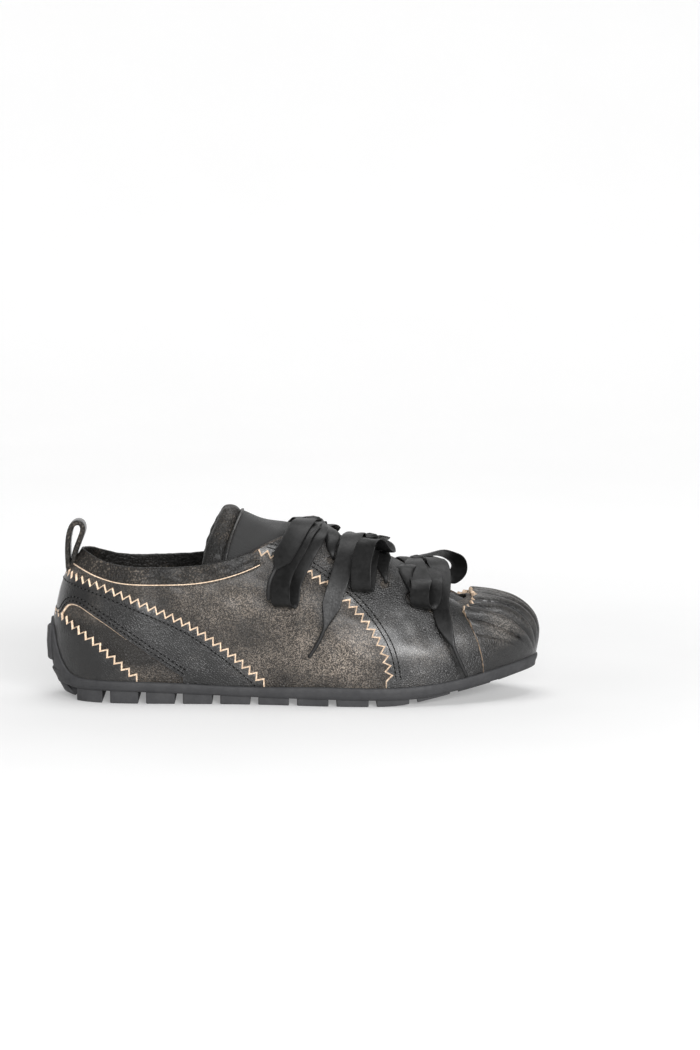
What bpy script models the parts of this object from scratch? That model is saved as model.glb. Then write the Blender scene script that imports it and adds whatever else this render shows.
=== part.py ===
"""A right ballet sneaker: leather upper with overlays, lugged rubber sole, tongue and three ribbon bows.

Millimetres in the tables, metres in the scene. +X is the toe, -Y the outer side of the foot, +Z is up.
"""

import bmesh
import bpy
import numpy as np

MM = 0.001
ORIGIN = (-0.365, -0.472, 0.0)

# Main sizes, in millimetres
WALL = 2.2
GAP = 0.3
CUP_DEPTH = 3.2
RIM_WIDTH = 2.2
OVERLAY = 1.0
OVERLAY_GAP = 0.45
COLLAR_HEIGHT = 9.2
COLLAR_STEP = 0.8
INSOLE = 2.6
TAB_HEIGHT = 29.5
TAB_HALF_WIDTH = 13.0
HEEL_TUCK = 6.0
SPRING_START = 44.0
SPRING_RAMP = 22.0
SPRING_SLOPE = 0.2
LUG_GAP = 4.2
RIBBON_WIDTH = 9.0
RIBBON = 0.9
EYELET_DIAMETER = 4.4
RIB_COUNT = 60
RIB_CROWDING = 0.35

# Ribs of the upper: from the heel back along the outer side to the toe tip and back along the inner side.
# A rib leaves its foot on the sole along the rise and reaches its top on the top line along the crest.
# Columns: foot_x, foot_y, top_x, top_y, top_z, rise_out, rise_up, crest_out, crest_up
RIBS = np.array([
    (-124.5, 1.2, -114.5, 1.2, 80.0, 7.0, 18.0, 14.5, -23.0),
    (-120.6, -12.5, -111.0, -11.0, 79.0, 6.0, 18.0, 13.0, -22.0),
    (-111.5, -22.0, -104.5, -19.5, 76.2, 5.0, 18.0, 9.0, -20.0),
    (-96.5, -27.8, -93.0, -25.5, 73.0, 4.0, 18.0, 5.5, -18.0),
    (-71.5, -30.3, -71.5, -28.0, 72.0, 3.2, 17.0, 3.6, -17.0),
    (-43.0, -31.6, -46.0, -28.6, 73.6, 3.0, 18.0, 3.0, -18.0),
    (-16.0, -34.3, -20.0, -26.8, 81.4, 3.0, 21.0, 4.5, -20.0),
    (8.0, -38.6, 1.0, -21.6, 89.2, 2.5, 24.0, 10.0, -17.0),
    (30.5, -41.8, 22.5, -18.9, 83.6, 2.0, 23.0, 13.0, -11.0),
    (53.0, -41.6, 45.5, -18.0, 74.2, 1.5, 21.0, 14.0, -8.5),
    (72.5, -38.0, 63.5, -17.4, 65.6, 1.5, 19.0, 13.0, -6.5),
    (90.0, -31.4, 77.0, -16.4, 57.0, 2.0, 17.0, 12.0, -5.0),
    (106.0, -22.8, 86.0, -12.4, 52.0, 3.6, 18.5, 15.5, -2.8),
    (119.8, -10.6, 92.0, -5.0, 52.6, 5.5, 22.0, 21.0, -1.0),
    (128.8, 5.6, 94.2, 3.8, 53.6, 7.2, 24.5, 26.8, -0.6),
    (123.0, 19.8, 92.4, 12.2, 52.9, 6.2, 23.0, 22.0, -1.0),
    (112.0, 30.2, 86.6, 19.2, 52.3, 4.0, 20.0, 16.0, -2.8),
    (97.0, 36.6, 78.0, 22.8, 57.2, 2.0, 18.0, 12.5, -5.0),
    (77.5, 41.0, 64.0, 22.6, 65.8, 1.5, 19.0, 14.0, -6.5),
    (56.0, 40.4, 46.0, 21.9, 74.6, 1.5, 21.0, 14.5, -8.5),
    (33.5, 36.4, 23.0, 21.1, 83.8, 2.0, 23.0, 13.0, -11.0),
    (10.0, 30.6, 1.5, 22.9, 89.4, 2.5, 24.0, 9.5, -17.0),
    (-14.5, 27.8, -19.5, 28.0, 81.8, 3.5, 21.0, 4.5, -20.0),
    (-42.0, 28.8, -46.0, 30.4, 74.2, 3.5, 18.0, 3.2, -18.0),
    (-71.0, 30.8, -71.5, 30.2, 72.6, 3.0, 17.0, 3.6, -17.0),
    (-96.0, 29.4, -93.0, 27.2, 73.4, 4.0, 18.0, 5.5, -18.0),
    (-111.3, 24.2, -104.5, 21.6, 76.4, 5.0, 18.0, 9.0, -20.0),
    (-120.5, 14.9, -111.0, 13.4, 79.1, 6.0, 18.0, 13.0, -22.0),
])
TOE_RIB = 14

# Levels of the sole. Columns: x, tread (underside of the rim), seam (top of the rim)
SOLE_LEVELS = np.array([
    (-135.0, 6.8, 12.6),
    (-85.0, 6.6, 11.9),
    (-60.0, 5.8, 11.1),
    (-35.0, 4.8, 9.8),
    (-10.0, 4.1, 9.5),
    (20.0, 3.9, 9.9),
    (50.0, 3.6, 9.6),
    (68.0, 4.5, 10.6),
    (80.0, 6.5, 11.9),
    (92.0, 8.5, 13.9),
    (104.0, 10.8, 16.6),
    (116.0, 12.9, 19.0),
    (134.0, 16.1, 22.5),
])

# Arches of the tongue. Columns: rib, foot and shoulder (share of the rib's height), crest_x, crest_z
TONGUE = np.array([
    (12.5, 0.86, 0.94, 99.0, 49.6),
    (11.6, 0.84, 0.97, 87.0, 53.4),
    (11.0, 0.82, 1.00, 77.0, 60.0),
    (10.0, 0.82, 1.00, 63.5, 68.7),
    (9.0, 0.82, 1.00, 45.5, 77.4),
    (8.0, 0.84, 1.00, 22.5, 86.6),
    (7.0, 0.84, 1.00, 1.0, 91.8),
    (6.3, 0.82, 0.97, -13.0, 94.6),
    (5.7, 0.82, 0.97, -22.0, 97.8),
    (5.3, 0.82, 0.98, -29.0, 99.8),
    (4.9, 0.82, 1.00, -38.0, 100.4),
])
TONGUE_SHEET = 2.2
TONGUE_ROLL = 7.4

# Edges of the overlays, drawn in side view on both sides of the shoe. Columns: x, z
SADDLE_REAR = np.array([
    (-21.5, 81.0), (-8.0, 77.0), (6.0, 70.5), (18.0, 62.5), (30.0, 52.5), (40.0, 40.5), (46.5, 29.0),
    (50.0, 13.6),
])
BAND_UPPER = np.array([
    (-121.0, 68.5), (-112.0, 65.5), (-100.0, 62.0), (-85.0, 56.0), (-70.0, 49.5), (-55.0, 42.5),
    (-42.0, 34.0), (-30.0, 25.0), (-16.5, 13.2),
])
BAND_LOWER = np.array([
    (-127.5, 50.6), (-121.0, 51.0), (-112.0, 48.8), (-102.0, 43.8), (-94.0, 38.5), (-84.0, 31.5),
    (-74.0, 24.5), (-66.0, 19.0), (-59.0, 14.4),
])
COUNTER_UPPER = np.array([
    (-127.8, 47.6), (-121.0, 44.5), (-112.0, 38.5), (-102.0, 31.0), (-94.0, 24.0), (-83.5, 15.4),
])
CAP_RIB = 11.6
PLEAT_PITCH = 0.028

# Eyelets, in side view. Columns: x, z on the outer side, z on the inner side
EYELETS = np.array([
    (8.0, 81.5, 82.0),
    (20.0, 75.6, 76.0),
    (34.0, 69.5, 70.0),
    (48.0, 63.0, 63.4),
    (61.5, 56.2, 56.8),
    (73.0, 50.0, 50.6),
])

# Ribbon bows, each over two pairs of eyelets: the outer side's loop and end. The inner side's are the same,
# mirrored about middle_y. Columns of knot, loop and end: x, y, z
BOWS = (
    {
        "middle_y": 1.2,
        "crossing_lift": 2.85,
        "knot": (10.5, 1.2, 95.2),
        "loop": (
            (12.5, -4.7, 95.8), (8.5, -13.0, 97.0), (3.0, -23.4, 92.8), (-1.5, -32.6, 81.0),
            (-5.0, -38.6, 67.5), (-6.0, -41.2, 56.5), (-5.8, -39.8, 53.2), (-5.2, -37.2, 56.5),
            (-3.0, -36.2, 65.0), (1.0, -33.8, 74.0), (5.5, -30.6, 83.0), (10.0, -25.4, 92.6),
            (13.5, -7.0, 94.0),
        ),
        "end": (
            (6.9, -1.6, 96.8), (-1.2, -9.0, 98.2), (-9.0, -21.0, 94.0), (-14.0, -31.0, 82.0),
            (-16.0, -34.6, 71.0), (-15.2, -35.8, 62.0), (-14.0, -36.4, 55.0),
        ),
    },
    {
        "middle_y": 1.8,
        "crossing_lift": 2.9,
        "knot": (41.0, 1.8, 85.0),
        "loop": (
            (43.0, -3.6, 85.0), (41.5, -12.0, 88.0), (38.4, -21.2, 84.4), (36.3, -28.6, 76.4),
            (35.8, -34.8, 67.0), (36.0, -37.2, 61.5), (36.2, -36.2, 59.2), (36.6, -34.4, 61.0),
            (37.4, -33.0, 66.0), (39.0, -30.0, 72.8), (41.5, -25.0, 79.6), (44.0, -9.0, 83.4),
        ),
        "end": (
            (36.0, -0.8, 86.6), (30.0, -12.0, 88.4), (28.6, -23.2, 84.8), (25.4, -33.0, 72.0),
            (20.0, -38.8, 58.0), (16.0, -41.6, 43.0), (12.5, -42.4, 34.0), (8.0, -43.0, 26.5),
        ),
    },
    {
        "middle_y": 4.0,
        "crossing_lift": 3.0,
        "knot": (66.5, 4.0, 72.8),
        "loop": (
            (68.5, -0.9, 72.9), (69.5, -11.0, 72.8), (70.5, -20.5, 68.9), (71.5, -28.8, 62.2),
            (72.0, -34.2, 54.5), (72.0, -35.4, 49.5), (71.8, -34.0, 48.0), (71.5, -32.6, 50.5),
            (71.0, -31.2, 55.0), (70.0, -27.7, 61.8), (69.0, -20.9, 67.8), (68.2, -8.0, 71.5),
        ),
        "end": (
            (73.6, 2.0, 73.7), (78.8, -9.0, 71.8), (80.6, -18.5, 66.0), (81.2, -26.7, 58.0),
            (81.0, -31.8, 49.0), (81.8, -35.2, 40.0), (83.6, -37.4, 31.0), (86.5, -38.2, 24.0),
            (91.2, -37.8, 15.5),
        ),
    },
)
KNOT_HALF_SIZE = (4.6, 4.8, 2.2)


def smooth(knots, values, at, period=None):
    """Reads a smooth curve through rows of values at the places in at; with a period it closes on itself."""
    knots, values = np.asarray(knots, float), np.asarray(values, float)
    if period:
        knots = np.append(knots, knots[0] + period)
        values = np.vstack([values, values[:1]])
        at = knots[0] + np.mod(at - knots[0], period)
    step = np.diff(knots)
    rate = np.diff(values, axis=0) / step[:, None]
    count = len(knots)
    left = np.zeros((count, count))
    right = np.zeros((count, values.shape[1]))
    for i in range(1, count - 1):
        left[i, i - 1:i + 2] = step[i], 2 * (step[i - 1] + step[i]), step[i - 1]
        right[i] = 3 * (step[i] * rate[i - 1] + step[i - 1] * rate[i])
    if period:
        left[0, [0, 1, -2]] = 2 * (step[-1] + step[0]), step[-1], step[0]
        right[0] = 3 * (step[0] * rate[-1] + step[-1] * rate[0])
        left[-1, [0, -1]] = 1, -1
    else:
        left[0, :2] = 2, 1
        right[0] = 3 * rate[0]
        left[-1, -2:] = 1, 2
        right[-1] = 3 * rate[-1]
    slope = np.linalg.solve(left, right)
    at = np.asarray(at, float)
    i = np.clip(np.searchsorted(knots, at, side="right") - 1, 0, count - 2)
    h = step[i][..., None]
    u = ((at - knots[i]) / step[i])[..., None]
    v = 1 - u
    ends = v * v * (1 + 2 * u) * values[i] + u * u * (1 + 2 * v) * values[i + 1]
    return ends + h * u * v * (v * slope[i] - u * slope[i + 1])


def rib_places():
    """Where each row of RIBS lies around the shoe: 0 at the heel back, 0.5 at the toe tip."""
    feet = np.vstack([RIBS[:, :2], RIBS[:1, :2]])
    along = np.append(0, np.cumsum(np.linalg.norm(np.diff(feet, axis=0), axis=1)))
    toe = along[TOE_RIB]
    return np.where(along <= toe, 0.5 * along / toe, 0.5 + 0.5 * (along - toe) / (along[-1] - toe))


RIB_AT = rib_places()


def ring_places():
    """Places of the ribs that are drawn, closer together round the heel and the toe."""
    even = np.arange(RIB_COUNT) / RIB_COUNT
    return even - RIB_CROWDING * np.sin(4 * np.pi * even) / (4 * np.pi)


def rib_at(number):
    """The place around the shoe of a rib number, which may lie between two rows."""
    return np.interp(number, np.arange(len(RIB_AT)), RIB_AT)


def levels(x):
    """The tread and seam heights of the sole at x."""
    return smooth(SOLE_LEVELS[:, 0], SOLE_LEVELS[:, 1:], x)


def ground(x):
    """The height of the tread's underside at x: level, then rising to the toe."""
    past = np.maximum(np.asarray(x, float) - SPRING_START, 0)
    ramp = np.minimum(past, SPRING_RAMP)
    return SPRING_SLOPE * (ramp * ramp / (2 * SPRING_RAMP) + past - ramp)


def rib_point(t, s):
    """The point at share s of the height of the rib at place t on the outer face of the upper."""
    t, s = np.broadcast_arrays(np.asarray(t, float), np.asarray(s, float))
    row = smooth(RIB_AT[:-1], RIBS, t, 1.0)
    feet = RIBS[:, :2]
    ahead = smooth(RIB_AT[:-1], feet, t + 0.0005, 1.0) - smooth(RIB_AT[:-1], feet, t - 0.0005, 1.0)
    ahead /= np.linalg.norm(ahead, axis=-1, keepdims=True)
    zero = np.zeros_like(t)
    out = np.stack([ahead[..., 1], -ahead[..., 0], zero], axis=-1)
    up = np.array([0.0, 0.0, 1.0])
    foot = np.stack([row[..., 0], row[..., 1], levels(row[..., 0])[..., 1] - CUP_DEPTH], axis=-1)
    top = row[..., 2:5]
    rise = foot + out * row[..., 5:6] + up * row[..., 6:7]
    crest = top + out * row[..., 7:8] + up * row[..., 8:9]
    s = s[..., None]
    r = 1 - s
    return r ** 3 * foot + 3 * r * r * s * rise + 3 * r * s * s * crest + s ** 3 * top


def wall(t, s, lift=0.0):
    """A point of the upper's outer face, moved off it by lift along the face's normal."""
    t, s, lift = np.broadcast_arrays(np.asarray(t, float), np.asarray(s, float), np.asarray(lift, float))
    around = rib_point(t + 0.0005, s) - rib_point(t - 0.0005, s)
    upward = rib_point(t, s + 0.001) - rib_point(t, s - 0.001)
    normal = np.cross(around, upward)
    normal /= np.linalg.norm(normal, axis=-1, keepdims=True)
    return rib_point(t, s) + normal * lift[..., None]


def on_wall(x, z, inner=False):
    """The place and share (t, s) of the point of one side that shows at x, z in side view."""
    x, z = np.asarray(x, float), np.asarray(z, float)
    low = 0.5 if inner else 0.0
    t_grid = np.linspace(low + 0.002, low + 0.498, 120)[:, None]
    s_grid = np.linspace(0.0, 1.0, 41)[None, :]
    grid = rib_point(t_grid, s_grid)
    found = []
    for px, pz in zip(np.ravel(x), np.ravel(z)):
        away = (grid[..., 0] - px) ** 2 + (grid[..., 2] - pz) ** 2
        i, j = np.unravel_index(away.argmin(), away.shape)
        t, s = t_grid[i, 0], s_grid[0, j]
        for _ in range(12):
            here = rib_point(t, s)
            by_t = (rib_point(t + 0.0005, s) - here) / 0.0005
            by_s = (rib_point(t, s + 0.001) - here) / 0.001
            jacobian = np.array([[by_t[0], by_s[0]], [by_t[2], by_s[2]]])
            move = np.linalg.lstsq(jacobian, np.array([px - here[0], pz - here[2]]), rcond=None)[0]
            t = np.clip(t + np.clip(move[0], -0.01, 0.01), low, low + 0.5)
            s = np.clip(s + np.clip(move[1], -0.1, 0.1), 0.0, 1.0)
        found.append((t, s))
    return np.array(found)


def rim_share(t):
    """The share of each rib's height that the sole's rim and heel tab cover."""
    t = np.atleast_1d(np.asarray(t, float))
    foot = rib_point(t, 0.0)
    from_middle = np.abs(foot[:, 1] - RIBS[0, 1])
    tab = TAB_HEIGHT * np.exp(-(from_middle / TAB_HALF_WIDTH) ** 2.4) * (foot[:, 0] < -60)
    height = levels(foot[:, 0])[:, 1] + tab
    s = np.linspace(0.0, 1.0, 161)
    z = rib_point(t[:, None], s[None, :])[..., 2]
    return np.array([np.interp(h, row, s) for h, row in zip(height, z)])


def new_object(name, points, faces, material, collection):
    mesh = bpy.data.meshes.new(name)
    mesh.from_pydata(((np.asarray(points).reshape(-1, 3) - ORIGIN) * MM).tolist(), [], faces)
    shape = bmesh.new()
    shape.from_mesh(mesh)
    bmesh.ops.remove_doubles(shape, verts=shape.verts, dist=0.00002)
    bmesh.ops.dissolve_degenerate(shape, edges=shape.edges, dist=0.00001)
    bmesh.ops.recalc_face_normals(shape, faces=shape.faces)
    shape.to_mesh(mesh)
    shape.free()
    item = bpy.data.objects.new(name, mesh)
    collection.objects.link(item)
    if material:
        mesh.materials.append(material)
    return item


def grid_faces(rows, columns, ring_rows=False, ring_columns=False):
    """Quads of a grid of points, closed on itself along its rows or columns if asked."""
    last_row = rows if ring_rows else rows - 1
    last_column = columns if ring_columns else columns - 1
    faces = []
    for i in range(last_row):
        for j in range(last_column):
            k = (i + 1) % rows
            m = (j + 1) % columns
            faces.append((i * columns + j, k * columns + j, k * columns + m, i * columns + m))
    return faces


def shell(name, outer, inner, material, collection, ring=False):
    """A closed solid between two grids of points of one size; with ring its rows close on themselves."""
    rows, columns = outer.shape[:2]
    section = np.concatenate([outer, inner[:, ::-1]], axis=1)
    faces = grid_faces(rows, 2 * columns, ring_rows=ring, ring_columns=True)
    if not ring:
        for row, turn in ((0, False), (rows - 1, True)):
            for j in range(columns - 1):
                start = row * 2 * columns
                face = (start + j, start + j + 1, start + 2 * columns - 2 - j, start + 2 * columns - 1 - j)
                faces.append(face[::-1] if turn else face)
    return new_object(name, section, faces, material, collection)


def loft(name, sections, material, collection):
    """A solid through a row of outlines with the same number of points, with flat ends."""
    sections = np.asarray(sections, float)
    rows, columns = sections.shape[:2]
    faces = grid_faces(rows, columns, ring_columns=True)
    faces.append(tuple(range(columns)))
    faces.append(tuple(range((rows - 1) * columns, rows * columns))[::-1])
    return new_object(name, sections, faces, material, collection)


def sizes_at(size, at):
    """One size, or rows of (share of the length, size), read at places along a length."""
    if np.ndim(size):
        return np.interp(at / at[-1], *np.transpose(size))
    return np.full(len(at), size)


def ribbon(name, line, across, width, thickness, material, collection, count):
    """A flat band along a smooth line, its width along the direction across, square to the line.

    Width and thickness are one size or rows of (share of the length, size).
    """
    line = np.asarray(line, float)
    along = np.append(0, np.cumsum(np.linalg.norm(np.diff(line, axis=0), axis=1)))
    at = np.linspace(0, along[-1], count)
    middle = smooth(along, line, at)
    ahead = np.gradient(middle, axis=0)
    ahead /= np.linalg.norm(ahead, axis=1, keepdims=True)
    side = np.asarray(across, float) - ahead * (ahead @ np.asarray(across, float))[:, None]
    side /= np.linalg.norm(side, axis=1, keepdims=True)
    face = np.cross(ahead, side)
    half, thin = side * sizes_at(width, at)[:, None] / 2, face * sizes_at(thickness, at)[:, None] / 2
    return loft(name, np.stack([middle - half - thin, middle + half - thin, middle + half + thin,
                                middle - half + thin], axis=1), material, collection)


def boolean(target, tools, operation):
    """Joins the tools to the target or cuts them out of it, one after another, and removes them."""
    for tool in tools:
        step = target.modifiers.new("step", "BOOLEAN")
        step.operation = operation
        step.solver = "EXACT"
        step.object = tool
        bpy.context.view_layer.objects.active = target
        bpy.ops.object.modifier_apply(modifier=step.name)
        bpy.data.objects.remove(tool)


def paint(name, colour, roughness, metallic=0.0):
    material = bpy.data.materials.new(name)
    material.use_nodes = True
    shader = material.node_tree.nodes["Principled BSDF"]
    shader.inputs["Base Color"].default_value = (*colour, 1.0)
    shader.inputs["Roughness"].default_value = roughness
    shader.inputs["Metallic"].default_value = metallic
    material.diffuse_color = (*colour, 1.0)
    return material


def spine(t):
    """The points down the middle of the sole that face each place of a ring of ribs."""
    feet = rib_point(t, 0.0)
    other = feet[(-np.arange(len(t))) % len(t)]
    x = np.clip((feet[:, 0] + other[:, 0]) / 2, -96.0, 98.0)
    return x, np.interp(x, *middle_line())


def middle_line():
    outer = rib_point(np.linspace(0.05, 0.46, 40), 0.0)
    inner = rib_point(np.linspace(0.95, 0.54, 40), 0.0)
    x = np.linspace(-100, 100, 21)
    return x, (np.interp(x, outer[:, 0], outer[:, 1]) + np.interp(x, inner[:, 0], inner[:, 1])) / 2


def ring_solid(name, rings, t, top, bottom, material, collection):
    """A solid like a tray: rings of points from its top edge to its bottom edge, closed down the middle."""
    x, y = spine(t)
    first = np.stack([x, y, top(x)], axis=1)[:, None]
    last = np.stack([x, y, bottom(x)], axis=1)[:, None]
    section = np.concatenate([first, rings, last], axis=1)
    faces = grid_faces(section.shape[0], section.shape[1], ring_rows=True)
    return new_object(name, section, faces, material, collection)


def make_outsole(material, parts):
    t = ring_places()
    rim = rim_share(t)
    foot = rib_point(t, 0.0)
    tread, seam = levels(foot[:, 0]).T
    inside = [wall(t, rim * f, OVERLAY_GAP) for f in (0.0, 0.25, 0.5, 0.75, 1.0)]
    plate_edge = inside[0].copy()
    plate_edge[:, 2] = seam - CUP_DEPTH - GAP
    outside = [wall(t, rim * f, GAP + RIM_WIDTH) for f in (1.0, 0.75, 0.5, 0.25, 0.0)]
    heel = np.exp(-(np.abs(foot[:, 1] - RIBS[0, 1]) / 17.0) ** 2) * (foot[:, 0] < -60)
    edge = outside[-1].copy()
    inward = plate_edge[:, :2] - edge[:, :2]
    inward /= np.linalg.norm(inward, axis=1, keepdims=True)
    edge[:, :2] += inward * (0.4 + HEEL_TUCK * heel)[:, None]
    edge[:, 2] = tread
    rings = np.stack([plate_edge, *inside[1:], *outside, edge], axis=1)
    sole = ring_solid("outsole", rings, t, lambda x: levels(x)[:, 1] - CUP_DEPTH - GAP,
                      lambda x: levels(x)[:, 0], material, parts)
    boolean(sole, make_lugs(edge, outside[-1], parts), "UNION")
    return sole


def make_lugs(edge, rim, parts):
    """The bars of tread under the plate and the two lugs on the heel tab."""
    half = RIB_COUNT // 2
    outer_side, inner_side = edge[:half + 1], edge[half:][::-1]
    number = np.arange(11)
    gaps = -99.4 + 19.15 * number + 0.163 * number * (number - 1)
    starts = np.append(-115.5, gaps + LUG_GAP / 2)
    ends = np.append(gaps - LUG_GAP / 2, 121.0)
    lugs = []
    for start, end in zip(starts, ends):
        x = np.linspace(start, end, 4)
        y_outer = np.interp(x, outer_side[:, 0], outer_side[:, 1]) + 0.5
        y_inner = np.interp(x, inner_side[:, 0], inner_side[:, 1]) - 0.5
        floor = ground(x)
        roof = levels(x)[:, 0] + 1.0
        draft = 0.7
        lugs.append(loft("lug", np.stack([
            np.stack([x, y_outer + draft, floor], axis=1),
            np.stack([x, y_inner - draft, floor], axis=1),
            np.stack([x, y_inner, roof], axis=1),
            np.stack([x, y_outer, roof], axis=1)], axis=1), None, parts))
    heel_lugs = (
        (8.0, ((-129.2, 19.4), (-132.3, 20.6), (-132.8, 29.5), (-132.3, 38.0), (-129.4, 39.0))),
        (14.0, ((-128.3, 16.6), (-130.2, 15.2), (-123.6, 3.0), (-120.6, 1.6), (-116.6, 7.2), (-121.5, 7.6),
                (-125.7, 8.9), (-127.4, 12.6))),
    )
    for half_width, profile in heel_lugs:
        profile = np.array(profile)
        sections = []
        for y in np.linspace(-half_width, half_width, 7):
            back = y * y / 46.0
            level = np.full(len(profile), RIBS[0, 1] + y)
            sections.append(np.stack([profile[:, 0] + back, level, profile[:, 1]], axis=1))
        lugs.append(loft("lug", sections, None, parts))
    return lugs


def make_insole(material, parts):
    t = ring_places()
    edge = wall(t, 0.03, -WALL - 2 * GAP)
    seam = levels(rib_point(t, 0.0)[:, 0])[:, 1]
    low, high = edge.copy(), wall(t, 0.06, -WALL - 2 * GAP)
    low[:, 2] = seam - CUP_DEPTH + GAP
    high[:, 2] = seam - CUP_DEPTH + GAP + INSOLE
    rings = np.stack([high, low], axis=1)
    return ring_solid("insole", rings, t, lambda x: levels(x)[:, 1] - CUP_DEPTH + GAP + INSOLE,
                      lambda x: levels(x)[:, 1] - CUP_DEPTH + GAP, material, parts)


def collar_share(t):
    """How far a place belongs to the collar (1) and not to the throat (0), and the start of its band."""
    from_heel = np.minimum(t, 1 - t)
    inside = np.clip((rib_at(6.15) - from_heel) / 0.012, 0, 1)
    s = np.linspace(0.5, 1.0, 60)
    line = rib_point(t[:, None], s[None, :])
    left = np.linalg.norm(line - line[:, -1:], axis=-1)
    start = np.array([np.interp(-COLLAR_HEIGHT, -row, s) for row in left])
    return inside, start


def make_upper(material, parts):
    t = ring_places()
    inside, start = collar_share(t)
    shares = [start * f for f in (0.0, 0.1, 0.24, 0.4, 0.56, 0.72, 0.87, 1.0)]
    lifts = [np.zeros_like(t)] * len(shares)
    shares += [start + (1 - start) * f for f in (0.07, 0.55, 1.0)]
    lifts += [-COLLAR_STEP * inside] * 3
    outer = np.stack([wall(t, s, h) for s, h in zip(shares, lifts)], axis=1)
    inner = np.stack([wall(t, s, -WALL) for s in shares], axis=1)
    inner[:, 0, 2] = outer[:, 0, 2]
    return shell("upper", outer, inner, material, parts, ring=True)


def tongue_frame(at):
    """The outer face of the tongue's arches at the rows in at, from the outer side to the inner side."""
    row = smooth(np.arange(len(TONGUE)), TONGUE, at)
    t_outer = rib_at(row[:, 0])
    t_inner = rib_at(len(RIBS) - row[:, 0])
    inside = -WALL - 3 * GAP - 1.6 * np.clip(at - (len(TONGUE) - 3), 0, 2)
    knots = [wall(t_outer, row[:, 1], inside), wall(t_outer, row[:, 2], inside)]
    far = [wall(t_inner, row[:, 2], inside), wall(t_inner, row[:, 1], inside)]
    crest = np.stack([row[:, 3], (knots[1][:, 1] + far[0][:, 1]) / 2, row[:, 4]], axis=1)
    return np.stack([*knots, crest, *far], axis=1)


def make_tongue(material, parts):
    last = len(TONGUE) - 1
    at = np.append(np.linspace(0, last - 0.75, 13), np.linspace(last - 0.65, last, 6))
    frame = tongue_frame(at)
    across = np.linspace(0, 1, 13)
    face = []
    for arch in frame:
        along = np.append(0, np.cumsum(np.linalg.norm(np.diff(arch, axis=0), axis=1)))
        face.append(smooth(along / along[-1], arch, across))
    face = np.array(face)
    ahead = np.gradient(face, axis=0)
    sideways = np.gradient(face, axis=1)
    normal = np.cross(sideways, ahead)
    normal /= np.linalg.norm(normal, axis=2, keepdims=True)
    normal *= np.sign(normal[:, 6:7, 2:3])
    share = np.clip((at - (len(TONGUE) - 1.6)) / 0.6, 0, 1)
    roll = (TONGUE_ROLL - TONGUE_SHEET) * np.sqrt(np.clip(1 - (2 * share - 1) ** 2, 0, 1)) * (share > 0)
    edge = np.minimum(1, np.minimum(across, 1 - across) / 0.22)
    raised = roll[:, None] * edge
    outer = face + normal * (raised * 0.55)[..., None]
    inner = face - normal * (TONGUE_SHEET + raised * 0.45)[..., None]
    return shell("tongue", outer, inner, material, parts)


def panel(name, low, high, columns, material, parts, relief=None):
    """A thin overlay on the upper between two edges, each a row of places (t, s) on the upper's face."""
    share = np.linspace(0, 1, columns)[None, :, None]
    place = low[:, None] * (1 - share) + high[:, None] * share
    swell = np.zeros(place.shape[:2]) if relief is None else relief(place[..., 0], place[..., 1])
    outer = wall(place[..., 0], place[..., 1], OVERLAY_GAP + OVERLAY + swell)
    inner = wall(place[..., 0], place[..., 1], OVERLAY_GAP)
    return shell(name, outer, inner, material, parts)


def above_rim(t):
    """The share of each rib's height just clear of the rim, also beside the steep sides of the heel tab."""
    around = [rim_share(np.mod(t + aside, 1.0)) for aside in (-0.006, -0.003, 0.0, 0.003, 0.006)]
    return np.max(around, axis=0) + 0.012


def edge_places(table, count, inner=False):
    """Even places (t, s) along an edge that is drawn in side view."""
    places = on_wall(table[:, 0], table[:, 1], inner)
    spots = rib_point(places[:, 0], places[:, 1])
    along = np.append(0, np.cumsum(np.linalg.norm(np.diff(spots, axis=0), axis=1)))
    return smooth(along, places, np.linspace(0, along[-1], count))


def wrap_places(table, count):
    """Places along an edge that runs from the outer side round the heel to the inner side."""
    outer = edge_places(table, count)[::-1]
    inner = edge_places(table, count, inner=True)
    inner[:, 0] -= 1.0
    places = np.vstack([outer, inner])
    spots = rib_point(places[:, 0], places[:, 1])
    along = np.append(0, np.cumsum(np.linalg.norm(np.diff(spots, axis=0), axis=1)))
    return smooth(along, places, np.linspace(0, along[-1], 2 * count - 1))


def make_overlays(material, parts):
    rear_count = 13
    for side, inner in (("outer", False), ("inner", True)):
        rear = edge_places(SADDLE_REAR, rear_count, inner)
        front = np.full(rear_count, rib_at(len(RIBS) - CAP_RIB + 0.06 if inner else CAP_RIB - 0.06))
        share = (rear[:, 1] - rear[-1, 1]) / (rear[0, 1] - rear[-1, 1])
        low = above_rim(front)
        front = np.stack([front, low + (0.995 - low) * share], axis=1)
        rear[:, 1] = np.maximum(rear[:, 1], above_rim(rear[:, 0]))
        rear[0, 1] = 0.995
        panel("saddle_" + side, rear, front, 7, material, parts)
    places = np.linspace(rib_at(CAP_RIB), rib_at(len(RIBS) - CAP_RIB), 33)
    low = np.stack([places, above_rim(places)], axis=1)
    high = np.stack([places, np.full(33, 0.995)], axis=1)
    panel("toe_cap", low, high, 8, material, parts, relief=pleats)
    panel("side_band", wrap_places(BAND_LOWER, 18), wrap_places(BAND_UPPER, 18), 4, material, parts)
    counter = wrap_places(COUNTER_UPPER, 10)
    counter[:, 1] = np.maximum(counter[:, 1], above_rim(counter[:, 0]) + 0.05)
    base = np.stack([counter[:, 0], above_rim(counter[:, 0]) + 0.02], axis=1)
    panel("heel_counter", base, counter, 4, material, parts)


def pleats(t, s):
    """The folds of the toe cap: they fan from the throat and die out at the sole and at the sides."""
    turn = (t - 0.5) / PLEAT_PITCH
    fan = np.exp(-(turn / 3.2) ** 4)
    fade = np.clip((s - 0.25) / 0.35, 0, 1)
    return 0.8 * np.cos(2 * np.pi * turn) * fan * fade + 0.4 * fan * fade


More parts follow.
